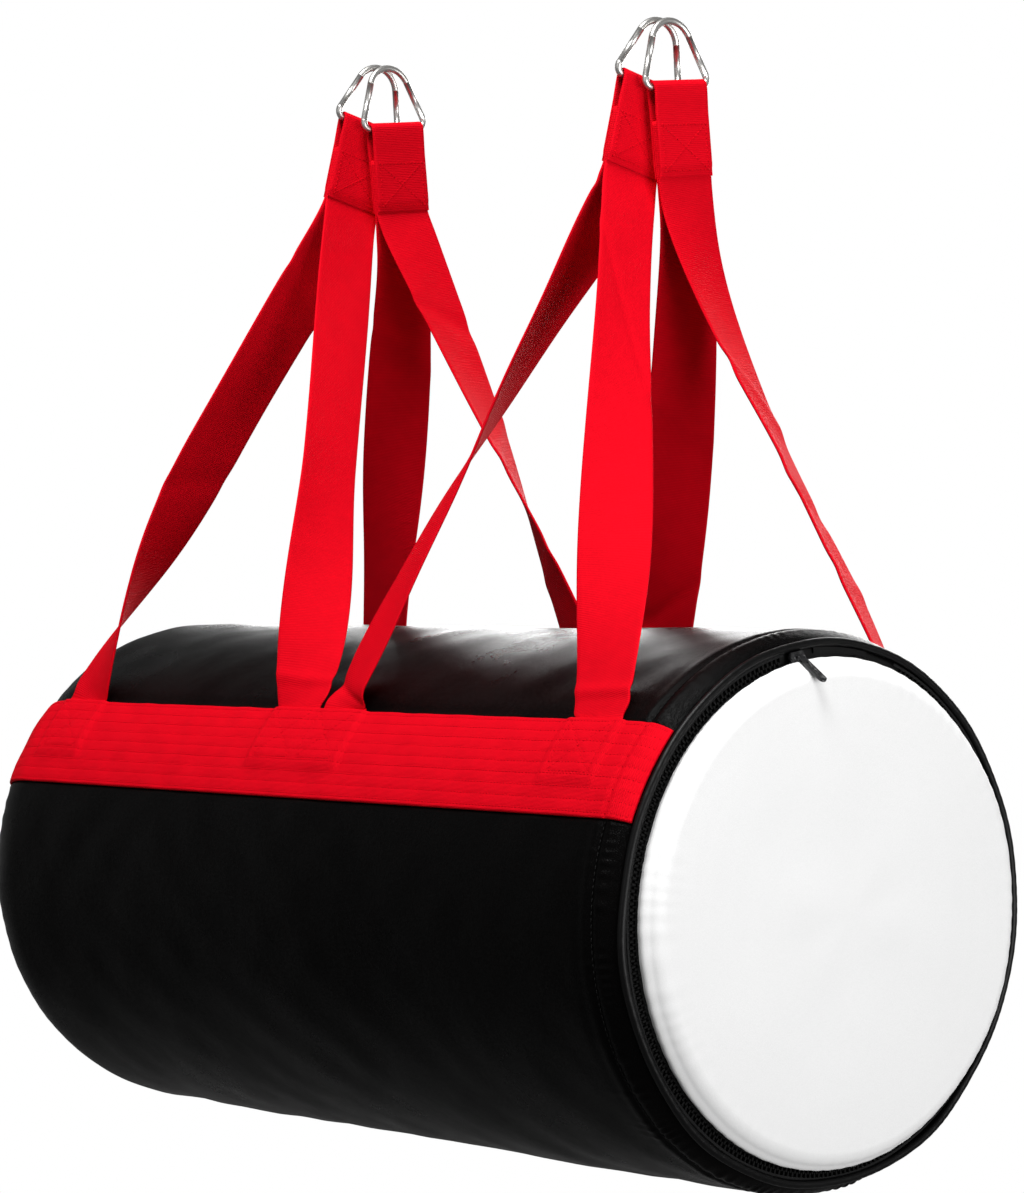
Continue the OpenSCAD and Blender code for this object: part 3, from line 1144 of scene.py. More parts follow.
@dataclass
class ZipEnd:
    """Folded end of the zip's tape, tucked in beside the flap's sewn strip.

    Attributes:
        form: The bag's form.
        finish: Its cloth.
        middle: Angle of its middle from the top, in radians.
        half: Half of the angle that it takes up.
        rows: Rows along it.
    """

    form: BagForm
    finish: Material
    middle: float = -0.115
    half: float = 0.042
    rows: int = 40

    def build(self) -> Object:
        """Build the tape's end as a small crumpled fold."""
        low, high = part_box("shell_zip_tape")
        rim = (high.z - low.z) / 2
        share = np.linspace(-1, 1, self.rows)[:, None]
        turn = np.linspace(0, FULL_TURN, 25)[:-1][None, :]
        angle = self.middle + share * self.half
        full = np.sqrt(np.clip(1 - share**4, 0.02, 1))
        crumple = 1 - 0.22 * bump(share - 0.25, 0.16) - 0.16 * bump(share + 0.4, 0.12)
        across, tall = 0.0019 * full, 0.0016 * full * crumple
        x = high.x + 0.0002 + tall + tall * np.sin(turn)
        r = rim - 0.0021 + across * np.cos(turn) * (0.9 + 0.1 * crumple)
        loops = self.form.point(x, r, angle + 0 * turn)
        piece = tube_object("zip_tape_end", loops, self.finish)
        dress(piece, "bag", "black_trim")
        return piece


@dataclass
class EndPanel:
    """Padded white end panel.

    Attributes:
        form: The bag's form.
        finish: Its leather.
        edge_round: Rounding of the face's edge.
        rise: How far the face swells out in its middle.
        overhang: How far the edge swells out over the zip.
        overhang_span: Where that swelling starts and ends, off the panel's back.
        columns: Points round the panel.
    """

    form: BagForm
    finish: Material
    edge_round: float = 0.012
    rise: float = 0.005
    overhang: float = 0.0022
    overhang_span: tuple[float, float] = (0.0034, 0.0112)
    columns: int = 420

    def rows(self, base_x: float, face_x: float, radius: float) -> np.ndarray:
        """Return place, radius and normal of each row, from the back's edge to the middle.

        Args:
            base_x: Place of the panel's back.
            face_x: Place of its face.
            radius: Its radius.

        Returns:
            The rows.
        """
        flat_x, bend_r = face_x - self.rise, radius - self.edge_round
        side_x = flat_x - self.edge_round
        rows = []
        for share in np.linspace(0, 1, 14)[:-1]:
            rows.append((base_x + share * (side_x - base_x), radius, 0.0, 1.0))
        for a in np.linspace(0, math.pi / 2, 18)[:-1]:
            cos, sin = math.cos(a), math.sin(a)
            x = flat_x - self.edge_round * (1 - sin)
            rows.append((x, bend_r + self.edge_round * cos, sin, cos))
        middle = 0.03
        for r in [*np.linspace(bend_r, middle, 44), *np.linspace(middle, 0.0005, 8)[1:]]:
            rows.append((flat_x + self.rise * (1 - (r / bend_r) ** 2), r, 1.0, 0.0))
        return np.array(rows)

    def build(self) -> Object:
        """Build the panel's cover as a closed crowned pad.

        Returns:
            The piece.
        """
        low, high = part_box("end_panel")
        base_x, radius = low.x, (high.z - low.z) / 2
        angle = turns(self.columns)[None, :]
        table = self.rows(base_x, high.x, radius)
        x, r = table[:, 0:1], table[:, 1:2]
        flow = np.broadcast_to(r, (len(table), self.columns))
        edge = bump(r - radius, 0.016)
        gather = 0.5 + 0.5 * np.cos(76 * angle + 2.2 * round_waves(51, 9, (2, 13), angle))
        swell = Ripples(52, 12, (0.09, 0.3), (0, 6)).at(flow, angle)
        lift = -0.0003 * edge * gather + 0.0003 * swell - 0.0003
        lift = np.maximum(lift * smooth_step(r / 0.05), -0.0012)
        wander = 0.0002 * round_waves(53, 8, (2, 9), angle)
        radial = r + table[:, 3:4] * lift + wander * smooth_step((r - 0.12) / 0.04)
        past = x - base_x
        start, end = self.overhang_span
        over = smooth_step((past - start) / 0.0012) * np.clip((end - past) / 0.0042, 0, 1)
        radial = radial + self.overhang * over
        outer = self.form.point(x + table[:, 2:3] * lift, radial, angle)
        back = [0.0005, radius * 0.5, radius - 0.003]
        inner = np.stack([self.form.point(base_x, at, angle[0]) for at in back])
        piece = tube_object("end_panel_cover", np.concatenate([inner, outer]), self.finish)
        dress(piece, "end_flap", "white_leather", "end_panel")
        return piece


# --------------------------------------------------------------------------- webbing


def run_length(points: np.ndarray) -> np.ndarray:
    """Return the length of a line up to each of its points."""
    return np.concatenate([[0], np.cumsum(np.linalg.norm(np.diff(points, axis=0), axis=1))])


def headings(points: np.ndarray) -> np.ndarray:
    """Return the unit direction of a line at each of its points."""
    way = np.gradient(points, axis=0)
    return way / np.linalg.norm(way, axis=1)[:, None]


@dataclass(frozen=True)
class Ribbon:
    """Section of a woven strap, with a slightly thicker selvedge.

    Attributes:
        width: Width of the webbing.
        thick: Its thickness.
        across: Points across its flat middle.
        selvedge: Share by which its edges are thicker.
    """

    width: float = 0.050
    thick: float = 0.002
    across: int = 17
    selvedge: float = 0.12

    def section(self) -> tuple[np.ndarray, np.ndarray]:
        """Return the section's places across and off the strap, as one closed loop."""
        flat = 0.95
        a = np.concatenate([[-1.0, -0.985], np.linspace(-flat, flat, self.across), [0.985, 1.0]])
        half = np.array([0.25, 0.75] + [1.0] * self.across + [0.75, 0.25])
        half = half + self.selvedge * bump(np.abs(a) - 0.94, 0.03)
        across = np.concatenate([a, a[::-1]]) * self.width / 2
        off = np.concatenate([half, -half[::-1]]) * self.thick / 2
        return across, off

    def sweep(
        self,
        points: np.ndarray,
        across: np.ndarray,
        normal: np.ndarray,
        squeeze: np.ndarray | None = None,
    ) -> tuple[np.ndarray, np.ndarray]:
        """Sweep the section along frames.

        Args:
            points: Middle of the strap in each row.
            across: Direction across it.
            normal: Direction off it.
            squeeze: Factor on the width in each row, or None.

        Returns:
            Loops of points and their cloth coordinates.
        """
        a, off = self.section()
        scale = np.ones(len(points)) if squeeze is None else squeeze
        wide = a[None, :, None] * scale[:, None, None]
        loops = points[:, None] + across[:, None] * wide + normal[:, None] * off[None, :, None]
        length = run_length(points)
        uv = np.stack(np.broadcast_arrays(a[None, :] / UV_UNIT, length[:, None] / UV_UNIT), -1)
        return loops, uv


@dataclass(frozen=True)
class Hanger:
    """One V's head: the ring's bar that it hangs on and the directions there.

    Attributes:
        end: Hook that the V hangs on.
        side: Side of the bag that it leads to.
        bar: Middle of the ring's bar.
        along: Direction along the bar.
        down: Direction from the bar into the fold.
    """

    end: End
    side: Side
    bar: np.ndarray
    along: np.ndarray
    down: np.ndarray

    @classmethod
    def from_frame(cls, end: End, side: Side, frame: dict) -> Hanger:
        """Read the bar from the ring's joint.

        Args:
            end: Hook that the V hangs on.
            side: Side of the bag that it leads to.

        Returns:
            The head.
        """
        name = f"ring_{side.word}_{end.word}_swing"
        joint = next(j for j in frame["joints"] if j["name"] == name)
        along = unit(np.array(joint["axis"], float))
        along = along if along[1] > 0 else -along
        down = np.cross(along, np.array([1.0, 0, 0]))
        down = down if down[2] < 0 else -down
        return cls(end, side, np.array(joint["pos_m"], float), along, down)

    @property
    def out(self) -> np.ndarray:
        """Direction off the fold's faces."""
        return np.array([1.0, 0, 0])

    @property
    def fold(self) -> str:
        """Name of the fold's node."""
        return f"fold_{self.side.word}_{self.end.word}"


@dataclass
class Fold:
    """Webbing folded over a ring's bar and sewn round the two leg heads.

    Attributes:
        hanger: The V's head.
        ribbon: The webbing.
        finish: Its finish.
        bar_radius: Radius of the ring's bar.
        clear: Room between bar and webbing.
        depth: Depth of the fold below the bar.
        pinch: Depth at which its plies have come together.
        ply: Place of each ply's inner face off the fold's middle.
        inset: Distance of the box of stitches from the edges.
    """

    hanger: Hanger
    ribbon: Ribbon
    finish: Material
    bar_radius: float = 0.0025
    clear: float = 0.00035
    depth: float = 0.064
    pinch: float = 0.022
    ply: float = 0.00215
    inset: float = 0.0045

    def line(self) -> np.ndarray:
        """Middle line of the ply, off the bar and below it, from one end to the other."""
        r = self.bar_radius + self.clear + self.ribbon.thick / 2
        half = self.ply + self.ribbon.thick / 2
        down = np.linspace(self.depth, 0.0, 60)
        ease = smooth_step((self.pinch - down) / (self.pinch - 0.002))
        leg = np.stack([half + (r - half) * ease, -down], -1)
        turn = np.linspace(0, math.pi, 17)[1:-1]
        bow = np.stack([r * np.cos(turn), r * np.sin(turn)], -1)
        return np.concatenate([leg, bow, leg[::-1] * [-1, 1]])

    def build(self) -> Object:
        """Build the folded webbing."""
        h = self.hanger
        line = self.line()
        points = h.bar + line[:, :1] * h.out - line[:, 1:] * h.down
        way = headings(line)
        normal = way[:, 1:] * h.out + way[:, :1] * h.down
        across = np.broadcast_to(h.along, points.shape)
        loops, uv = self.ribbon.sweep(points, across, normal)
        length = run_length(line)
        near_end = np.minimum(length, length[-1] - length)
        end_thick, end_length = 0.0006, 0.009
        sink = (self.ribbon.thick - end_thick) * (1 - smooth_step(near_end / end_length))
        loops[:, : loops.shape[1] // 2] -= (normal * sink[:, None])[:, None]
        piece = tube_object(f"webbing_{h.fold}", loops, self.finish, uv)
        dress(piece, "bag", "red_webbing", h.fold)
        return piece

    def stitches(self) -> list[np.ndarray]:
        """Box and cross of stitches on both faces of the fold."""
        h = self.hanger
        face = self.ply + self.ribbon.thick + 0.0001
        half = self.ribbon.width / 2 - self.inset
        top, low = self.pinch + 0.005, self.depth - self.inset
        corners = [(-half, top), (half, top), (half, low), (-half, low)]
        pairs = [(0, 1), (1, 2), (2, 3), (3, 0), (0, 2), (1, 3)]
        lines = []
        for sign in (-1, 1):
            places = [h.bar + h.out * sign * face + h.along * a + h.down * d for a, d in corners]
            lines += [np.array([places[first], places[last]]) for first, last in pairs]
        return lines


@dataclass(frozen=True)
class LegShape:
    """How one leg turns between its fold and its band.

    Attributes:
        sense: Direction of the quarter turn.
        start: Share of the length where the turn starts.
        end: Share of the length where it is done.
        swell: Bow off the straight line along and across the bag, in metres.
        leave: Distance over which it runs on straight out of its fold.
        land: Distance over which it comes down to its band.
        creases: Share of the length, depth and slant of each soft crease.
        pause: Shares where the turn halts and goes on, and the part done by then.
        waist: Share where it is pinched, how much, and its shift along the bag.
        sway: Bow of its lower part away from the other leg, in metres.
    """

    sense: int
    start: float
    end: float
    swell: tuple[float, float] = (0.0, 0.0)
    leave: float = 0.044
    land: float = 0.034
    creases: tuple[tuple[float, float, float], ...] = ()
    pause: tuple[float, float, float] = (0.0, 0.0, 0.0)
    waist: tuple[float, float, float] = (0.97, 0.08, 0.0)
    sway: float = 0.0

    def turned(self, share: np.ndarray) -> np.ndarray:
        """Return the part of the quarter turn that is done at each share."""
        if self.pause[2] == 0.0:
            return smooth_step((share - self.start) / (self.end - self.start))
        first, second, level = self.pause
        early = smooth_step((share - self.start) / (first - self.start))
        late = smooth_step((share - second) / (self.end - second))
        return level * early + (1 - level) * late


SWAY_PEAK = 28.9  # brings the peak of s^3 (1 - s)^2 to 1


@dataclass
class StrapLeg:
    """Webbing leg that turns from its fold to lie flat under its band.

    Attributes:
        hanger: The V's head.
        leg: Which leg of the V.
        shape: How it turns.
        form: The bag's form.
        ribbon: The webbing.
        finish: Its finish.
        tuck: Length that is sewn in under the band.
        head: Depths below the bar between which it lies in the fold.
        head_rows: Rows in the fold.
        free_rows: Rows between the fold and the band.
        tail_rows: Rows under the band.
        way: Way along the bag that it leads, -1 or 1.
        node: CAD node that it stands for.
        anchor_x: Place along the bag where it meets its band.
    """

    hanger: Hanger
    leg: Leg
    shape: LegShape
    form: BagForm
    ribbon: Ribbon
    finish: Material
    tuck: float = 0.046
    head: tuple[float, float] = (0.024, 0.064)
    head_rows: int = 11
    free_rows: int = 150
    tail_rows: int = 15
    way: int = field(init=False)
    node: str = field(init=False)
    anchor_x: float = field(init=False)

    def __post_init__(self) -> None:
        """Find the leg's node and the place where it meets its band."""
        h = self.hanger
        self.way = h.end.value * (1 if self.leg is Leg.OUTER else -1)
        self.node = f"strap_{h.side.word}_{h.end.word}_{self.leg.value}"
        low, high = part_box(self.node)
        edge = low.x if self.way < 0 else high.x
        self.anchor_x = edge - self.way * self.ribbon.width / 2

    def middle_line(self, start: np.ndarray, meet: np.ndarray, up: np.ndarray) -> np.ndarray:
        """Return the leg's middle between its fold and its band.

        Args:
            start: Place where it leaves the fold.
            meet: Place where it meets the band's edge.
            up: Direction up the bag's wall from there.

        Returns:
            The points.
        """
        h, shape = self.hanger, self.shape
        share = np.linspace(0, 1, self.free_rows)[:, None]
        out_of_fold = start + h.down * shape.leave
        onto_band = meet + up * shape.land
        line = start * (1 - share) ** 3 + 3 * out_of_fold * share * (1 - share) ** 2
        line = line + 3 * onto_band * share**2 * (1 - share) + meet * share**3
        bell = (share * (1 - share)) ** 1.5 * 8
        line = line + bell * np.array([self.way * shape.swell[0], h.side.value * shape.swell[1], 0])
        sway = SWAY_PEAK * share**3 * (1 - share) ** 2
        return line + sway * np.array([self.way * shape.sway, 0, 0])

    def turn_across(self, line: np.ndarray) -> tuple[np.ndarray, np.ndarray]:
        """Return the directions across and off the leg as it turns along a line."""
        h, sense = self.hanger, self.shape.sense
        way = headings(line)
        b = h.along - way * (way @ h.along)[:, None]
        b /= np.linalg.norm(b, axis=1)[:, None]
        c = np.cross(way, b)
        e = h.out - way * way[:, :1]
        angle = np.arctan2((e * c).sum(1), (e * b).sum(1))
        angle = np.where(sense * angle < 0, angle + sense * math.pi, angle)
        turn = angle * self.shape.turned(np.linspace(0, 1, len(line)))
        across = b * np.cos(turn)[:, None] + c * np.sin(turn)[:, None]
        return across, np.cross(way, across)

    def frames(self) -> tuple[np.ndarray, np.ndarray, np.ndarray]:
        """Return the leg's middle line with its directions across and off it.

        Returns:
            Points, directions across and directions off the strap.
        """
        h, f = self.hanger, self.form
        side = h.side.value
        edge = float(f.band_angle(0.0, h.side))
        r = f.radius + 0.0002 + self.ribbon.thick / 2
        up = np.array([0, -side * math.cos(abs(edge)), math.sin(abs(edge))])
        meet = f.point(np.array(self.anchor_x), np.array(r), np.array(edge))
        mid = h.bar + h.out * self.way * (self.ribbon.thick + 0.00015) / 2
        line = self.middle_line(mid + h.down * self.head[1], meet, up)
        across, normal = self.turn_across(line)
        depth = np.linspace(*self.head, self.head_rows + 1)[:-1, None]
        head_line = mid + h.down * depth
        head_across = np.broadcast_to(h.along, head_line.shape)
        head_normal = np.broadcast_to(np.cross(h.down, h.along), head_line.shape)
        sweep = np.linspace(0, self.tuck / f.radius, self.tail_rows + 1)[1:]
        tail_turn = edge + np.sign(edge) * sweep
        tail = f.point(np.array(self.anchor_x), np.array(r), tail_turn)
        flat = across[-1]
        off_top = np.abs(tail_turn)
        tail_way = np.stack([0 * sweep, side * np.cos(off_top), -np.sin(off_top)], -1)
        return (
            np.concatenate([head_line, line, tail]),
            np.concatenate([head_across, across, np.broadcast_to(flat, tail.shape)]),
            np.concatenate([head_normal, normal, np.cross(tail_way, flat)]),
        )

    def build(self) -> Object:
        """Build the leg.

        Returns:
            The piece.
        """
        points, across, normal = self.frames()
        ends = self.head_rows + self.tail_rows + 1
        share = (np.arange(len(points)) - self.head_rows) / (len(points) - ends)
        share = np.clip(share, 0, 1)[:, None]
        at, narrow, shift = self.shape.waist
        pinch = bump(share - at, 0.028) * (share < 1)
        points = points + pinch * shift * self.hanger.out
        loops, uv = self.ribbon.sweep(points, across, normal, 1 - narrow * pinch[:, 0])
        a = uv[0, :, 0][None, :] * UV_UNIT / (self.ribbon.width / 2)
        rng = np.random.default_rng(hash_name(self.node))
        free = smooth_step(share / 0.12) * (1 - smooth_step((share - 0.9) / 0.08))
        cup = 0.0011 * (a**2 - 0.33) * np.sin(math.pi * share) * rng.uniform(0.4, 1.2)
        wave = 0.0006 * np.sin(share * rng.uniform(16, 26) + a * 1.4 + rng.uniform(0, 6))
        off = (cup + wave) * free
        for place, depth, slant in self.shape.creases:
            off = off + depth * bump(share - place - slant * a, 0.016)
        loops = loops + normal[:, None] * off[:, :, None]
        piece = tube_object(f"webbing_{self.node}", loops, self.finish, uv)
        dress(piece, "bag", "red_webbing", self.node)
        return piece


def hash_name(name: str) -> int:
    """Return the same small number for a name in every run."""
    return sum((i + 1) * ord(c) for i, c in enumerate(name)) % 9973


@dataclass
class Band:
    """Wide webbing band sewn along one side, over the tucked strap ends.

    Attributes:
        side: Side of the bag.
        form: The bag's form.
        anchors: Places along the bag of the strap ends.
        finish: Its finish.
        thick: Thickness of the webbing.
        gap: Room between the webbing and the nominal wall.
        ply: Height that a tucked strap end adds.
        groove: Depth of a row of stitches.
        edge_drop: How far the band's two edges are drawn down.
        strap_half: Half of a strap end's width.
        tuck: Length of a tucked strap end.
        seam_rows: Shares of the width where a row is sewn.
        x0: Far end of the band along the bag.
        x1: Near end.
    """

    side: Side
    form: BagForm
    anchors: Sequence[float]
    finish: Material
    thick: float = 0.002
    gap: float = 0.0002
    ply: float = 0.0021
    groove: float = 0.00028
    edge_drop: float = 0.0007
    strap_half: float = 0.025
    tuck: float = 0.046
    seam_rows: tuple[float, ...] = (0.045, 0.15, 0.265, 0.38, 0.495, 0.61, 0.725, 0.84, 0.955)
    x0: float = field(init=False)
    x1: float = field(init=False)

    def __post_init__(self) -> None:
        """Read the band's ends."""
        self.x0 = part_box(f"{self.side.word}_band")[0].x + 0.0008
        self.x1 = self.form.near_x - 0.0006

    def hump(self, x: np.ndarray, share: np.ndarray) -> np.ndarray:
        """Height from 0 to 1 of the band over the tucked strap ends."""
        depth = share * self.form.band_width
        along = 1 - smooth_step((depth - self.tuck + 0.004) / 0.015)
        total = np.zeros(np.broadcast(x, share).shape)
        for place in self.anchors:
            across = 1 - smooth_step((np.abs(x - place) - self.strap_half) / 0.006)
            total = np.maximum(total, across * along)
        return total

    def lift(self, x: np.ndarray, share: np.ndarray) -> np.ndarray:
        """Height of the band's face over the nominal wall.

        Args:
            x: Places along the bag.
            share: Shares of the band's width.

        Returns:
            The height in metres.
        """
        f = self.form
        angle = f.band_angle(share, self.side)
        total = self.gap + self.thick + self.ply * self.hump(x, share)
        for row in self.seam_rows:
            total = total - self.groove * bump(share - row, 0.016)
        total = total - self.edge_drop * (bump(share, 0.01) + bump(share - 1, 0.01))
        ripples = Ripples(61 + self.side.value, 16, (0.02, 0.09), (6, 40))
        total = total + 0.0002 * ripples.at(x, angle)
        total = total - 0.0011 * bump(x - f.seam_x, 0.0022) + 0.0005 * f.puckers(x, angle)
        for start, end in self.crosses():
            total = total - 0.0003 * self.trail(x, share, start, end)
        return total

    def crosses(self) -> list[tuple[np.ndarray, np.ndarray]]:
        """Box and cross lines over each strap end, as place and share of the width."""
        inset = 0.004
        top, low = 0.05, (self.tuck - inset) / self.form.band_width
        half = self.strap_half - inset
        corners = ((-half, top), (half, top), (half, low), (-half, low))
        lines = []
        for place in self.anchors:
            c = [np.array((place + x, share)) for x, share in corners]
            lines += [(c[a], c[b]) for a, b in ((0, 2), (1, 3), (0, 3), (1, 2), (3, 2))]
        return lines

    def trail(
        self, x: np.ndarray, share: np.ndarray, start: np.ndarray, end: np.ndarray
    ) -> np.ndarray:
        """Return 1 along a stitch line between two corners and 0 away from it.

        Args:
            x: Places along the bag.
            share: Shares of the band's width.
            start: First corner, as place and share.
            end: Last corner.

        Returns:
            The values.
        """
        width = self.form.band_width
        scale = np.array([1.0, width])
        a, b = start * scale, end * scale
        p = np.stack(np.broadcast_arrays(x, share * width), -1) - a
        way = b - a
        t = np.clip((p @ way) / (way @ way), 0, 1)
        return bump(np.linalg.norm(p - t[..., None] * way, axis=-1), 0.0012)

    def build(self) -> Object:
        """Build the band as one closed strip.

        Returns:
            The piece.
        """
        f, fine = self.form, self.form.seam_x - 0.03
        long, near = np.linspace(self.x0, fine, 330), np.linspace(fine, self.x1, 50)
        rows = np.concatenate([long[:-1], near])
        share = np.concatenate([[0.0, 0.004], np.linspace(0.012, 0.988, 84), [0.996, 1.0]])
        x, s = np.broadcast_arrays(rows[:, None], share[None, :])
        lift = self.lift(x, s)
        lift[:, 0] = lift[:, -1] = self.gap + 0.0006
        top = f.on_wall(x, f.band_angle(s, self.side), lift)
        under_share = np.linspace(1, 0, 9)
        x, s = np.broadcast_arrays(rows[:, None], under_share[None, :])
        under = f.on_wall(x, f.band_angle(s, self.side), self.gap)
        across = np.concatenate([share, under_share]) * f.band_width / UV_UNIT
        uv = np.stack(np.broadcast_arrays(across[None, :], rows[:, None] / UV_UNIT), -1)
        word = self.side.word
        loops = np.concatenate([top, under], 1)
        piece = tube_object(f"{word}_band_webbing", loops, self.finish, uv)
        dress(piece, "bag", "red_webbing", f"{word}_band")
        return piece

    def stitches(self) -> list[np.ndarray]:
        """Lines of stitches on the band: the lengthwise rows and the crosses."""
        ends = np.linspace(self.x0 + 0.003, self.x1 - 0.003, 240)
        lines = [(ends, np.full(len(ends), row)) for row in self.seam_rows]
        t = np.linspace(0, 1, 16)[:, None]
        for start, end in self.crosses():
            p = start * (1 - t) + end * t
            lines.append((p[:, 0], p[:, 1]))
        f, off = self.form, 0.0001
        return [f.on_wall(x, f.band_angle(s, self.side), self.lift(x, s) + off) for x, s in lines]


# -------------------------------------------------------------------------- stitches


@dataclass(frozen=True)
class StitchKind:
    """Sizes of one kind of stitching, in metres.

    Attributes:
        pitch: Distance from stitch to stitch.
        length: Length of a stitch.
        radius: Radius of the thread.
    """

    pitch: float
    length: float
    radius: float


@dataclass
class Stitching:
    """Rows of stitches laid along lines by a Geometry Nodes tree.

    Attributes:
        name: Name of the piece.
        kind: Sizes of the stitches.
        finish: The thread.
        body: Body that it rides on.
        seed: Seed of the stitches' uneven lengths.
        uneven: Least and most of a stitch's half length, as a share of its length.
        segments: Faces round a stitch.
        rings: Faces along a stitch.
    """

    name: str
    kind: StitchKind
    finish: Material
    body: str
    seed: int = 3
    uneven: tuple[float, float] = (0.42, 0.54)
    segments: int = 6
    rings: int = 5

    def tree(self) -> bpy.types.NodeTree:
        """Build the tree that sets one stitch on each step of the lines."""
        tree = bpy.data.node_groups.new(f"{self.name}_stitches", "GeometryNodeTree")
        for name, way, kind in (
            ("Geometry", "INPUT", "Geometry"),
            ("Pitch", "INPUT", "Float"),
            ("Stitch Length", "INPUT", "Float"),
            ("Thread Radius", "INPUT", "Float"),
            ("Seed", "INPUT", "Int"),
            ("Thread", "INPUT", "Material"),
            ("Geometry", "OUTPUT", "Geometry"),
        ):
            tree.interface.new_socket(name, in_out=way, socket_type=f"NodeSocket{kind}")
        add = tree.nodes.new
        source, target = add("NodeGroupInput"), add("NodeGroupOutput")
        to_curve, resample = add("GeometryNodeMeshToCurve"), add("GeometryNodeResampleCurve")
        resample.mode = "LENGTH"
        ball = add("GeometryNodeMeshUVSphere")
        for key, value in (("Segments", self.segments), ("Rings", self.rings), ("Radius", 1.0)):
            ball.inputs[key].default_value = value
        tangent = add("GeometryNodeInputTangent")
        align = add("FunctionNodeAlignRotationToVector")
        align.axis = "X"
        jitter, scale = add("FunctionNodeRandomValue"), add("ShaderNodeCombineXYZ")
        jitter.data_type = "FLOAT"
        jitter.inputs[2].default_value, jitter.inputs[3].default_value = self.uneven
        long = add("ShaderNodeMath")
        long.operation = "MULTIPLY"
        place, real = add("GeometryNodeInstanceOnPoints"), add("GeometryNodeRealizeInstances")
        shade, dressed = add("GeometryNodeSetShadeSmooth"), add("GeometryNodeSetMaterial")
        join(tree, (
            (source, "Geometry", to_curve, 0),
            (to_curve, 0, resample, "Curve"),
            (source, "Pitch", resample, "Length"),
            (resample, 0, place, "Points"),
            (ball, 0, place, "Instance"),
            (tangent, 0, align, "Vector"),
            (align, 0, place, "Rotation"),
            (source, "Seed", jitter, "Seed"),
            (source, "Stitch Length", long, 0),
            (jitter, 1, long, 1),
            (long, 0, scale, 0),
            (source, "Thread Radius", scale, 1),
            (source, "Thread Radius", scale, 2),
            (scale, 0, place, "Scale"),
            (place, 0, real, 0),
            (real, 0, shade, 0),
            (shade, 0, dressed, "Geometry"),
            (source, "Thread", dressed, "Material"),
            (dressed, 0, target, 0),
        ))
        return tree

    def build(self, lines: Sequence[np.ndarray]) -> Object:
        """Lay the stitches along lines and return them as a plain mesh.

        Args:
            lines: Each line as an array of points.

        Returns:
            The piece.
        """
        edges, start = [], 0
        for line in lines:
            edges += [(start + i, start + i + 1) for i in range(len(line) - 1)]
            start += len(line)
        mesh = bpy.data.meshes.new(f"{self.name}_lines")
        mesh.from_pydata(np.concatenate(lines).tolist(), edges, [])
        carrier = new_object(f"{self.name}_lines", mesh)
        tree = self.tree()
        modifier = carrier.modifiers.new("stitches", "NODES")
        modifier.node_group = tree
        values = {
            "Pitch": self.kind.pitch,
            "Stitch Length": self.kind.length,
            "Thread Radius": self.kind.radius,
            "Seed": self.seed,
            "Thread": self.finish,
        }
        for item in tree.interface.items_tree:
            if item.item_type == "SOCKET" and item.in_out == "INPUT" and item.name in values:
                modifier[item.identifier] = values[item.name]
        depsgraph = bpy.context.evaluated_depsgraph_get()
        laid = carrier.evaluated_get(depsgraph)
        result = bpy.data.meshes.new_from_object(laid, depsgraph=depsgraph)
        result.name = self.name
        carrier.modifiers.remove(modifier)
        bpy.data.objects.remove(carrier)
        piece = new_object(self.name, result)
        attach(piece, self.body)
        return piece


FOLD_STITCH = StitchKind(pitch=0.0032, length=0.0026, radius=0.00036)
BAND_STITCH = StitchKind(pitch=0.0034, length=0.0025, radius=0.00028)
SEAM_STITCH = StitchKind(pitch=0.0042, length=0.0034, radius=0.0004)


# ----------------------------------------------------------------------- rigid parts


@dataclass
class Hardware:
    """Rigid CAD nodes that keep their shape and get a finish and smooth shading.

    Attributes:
        finishes: Materials by name.
        ring_crease: Angle in degrees past which a ring's edge stays sharp.
        zip_crease: The same for the slider and its pull.
    """

    finishes: dict[str, Material]
    ring_crease: float = 40
    zip_crease: float = 30

    def rings(self) -> None:
        """Dress the four D-rings."""
        for side in Side:
            for end in End:
                place = f"{side.word}_{end.word}"
                node = f"d_ring_{place}"
                steel = self.finishes["ring_steel"]
                piece = smooth_copy(node, f"steel_{node}", steel, self.ring_crease)
                dress(piece, f"ring_{place}", "ring_steel", node)
                log.info("D-ring %s dressed", node)

    def zip(self) -> None:
        """Dress the slider and its pull, which each ride on a body of the same name."""
        for node in ("zip_slider", "zip_pull"):
            metal = self.finishes["black_metal"]
            piece = smooth_copy(node, f"metal_{node}", metal, self.zip_crease)
            dress(piece, node, "black_metal", node)
            log.info("%s dressed", node)

    def carried(self, frame: dict) -> None:
        """Give the CAD nodes that stay shown the finish of their slot.
        """
        for part in frame["record"]["subparts"]:
            node = frame["nodes"][part["node"]]
            if node.hide_render:
                continue
            slot = part["material_slot"]
            node.data.materials.clear()
            node.data.materials.append(self.finishes[slot])
            log.info("CAD node %s keeps its shape, finish %s", part["node"], slot)


# ---------------------------------------------------------------------------- studio


@dataclass(frozen=True)
class Lamp:
    """Soft rectangular lamp.

    Attributes:
        name: Its name.
        place: Its place.
        target: Point that it faces.
        size: Width and height.
        power: Power in watts.
    """

    name: str
    place: tuple[float, float, float]
    target: tuple[float, float, float]
    size: tuple[float, float]
    power: float

    def build(self) -> None:
        """Add the lamp to the scene."""
        data = bpy.data.lights.new(self.name, "AREA")
        data.shape = "RECTANGLE"
        data.size, data.size_y = self.size
        data.energy = self.power
        lamp = new_object(self.name, data)
        here = Vector(self.place)
        way = (Vector(self.target) - here).normalized()
        turn = way.to_track_quat("-Z", "Y").to_matrix().to_4x4()
        lamp.matrix_world = Matrix.Translation(here) @ turn


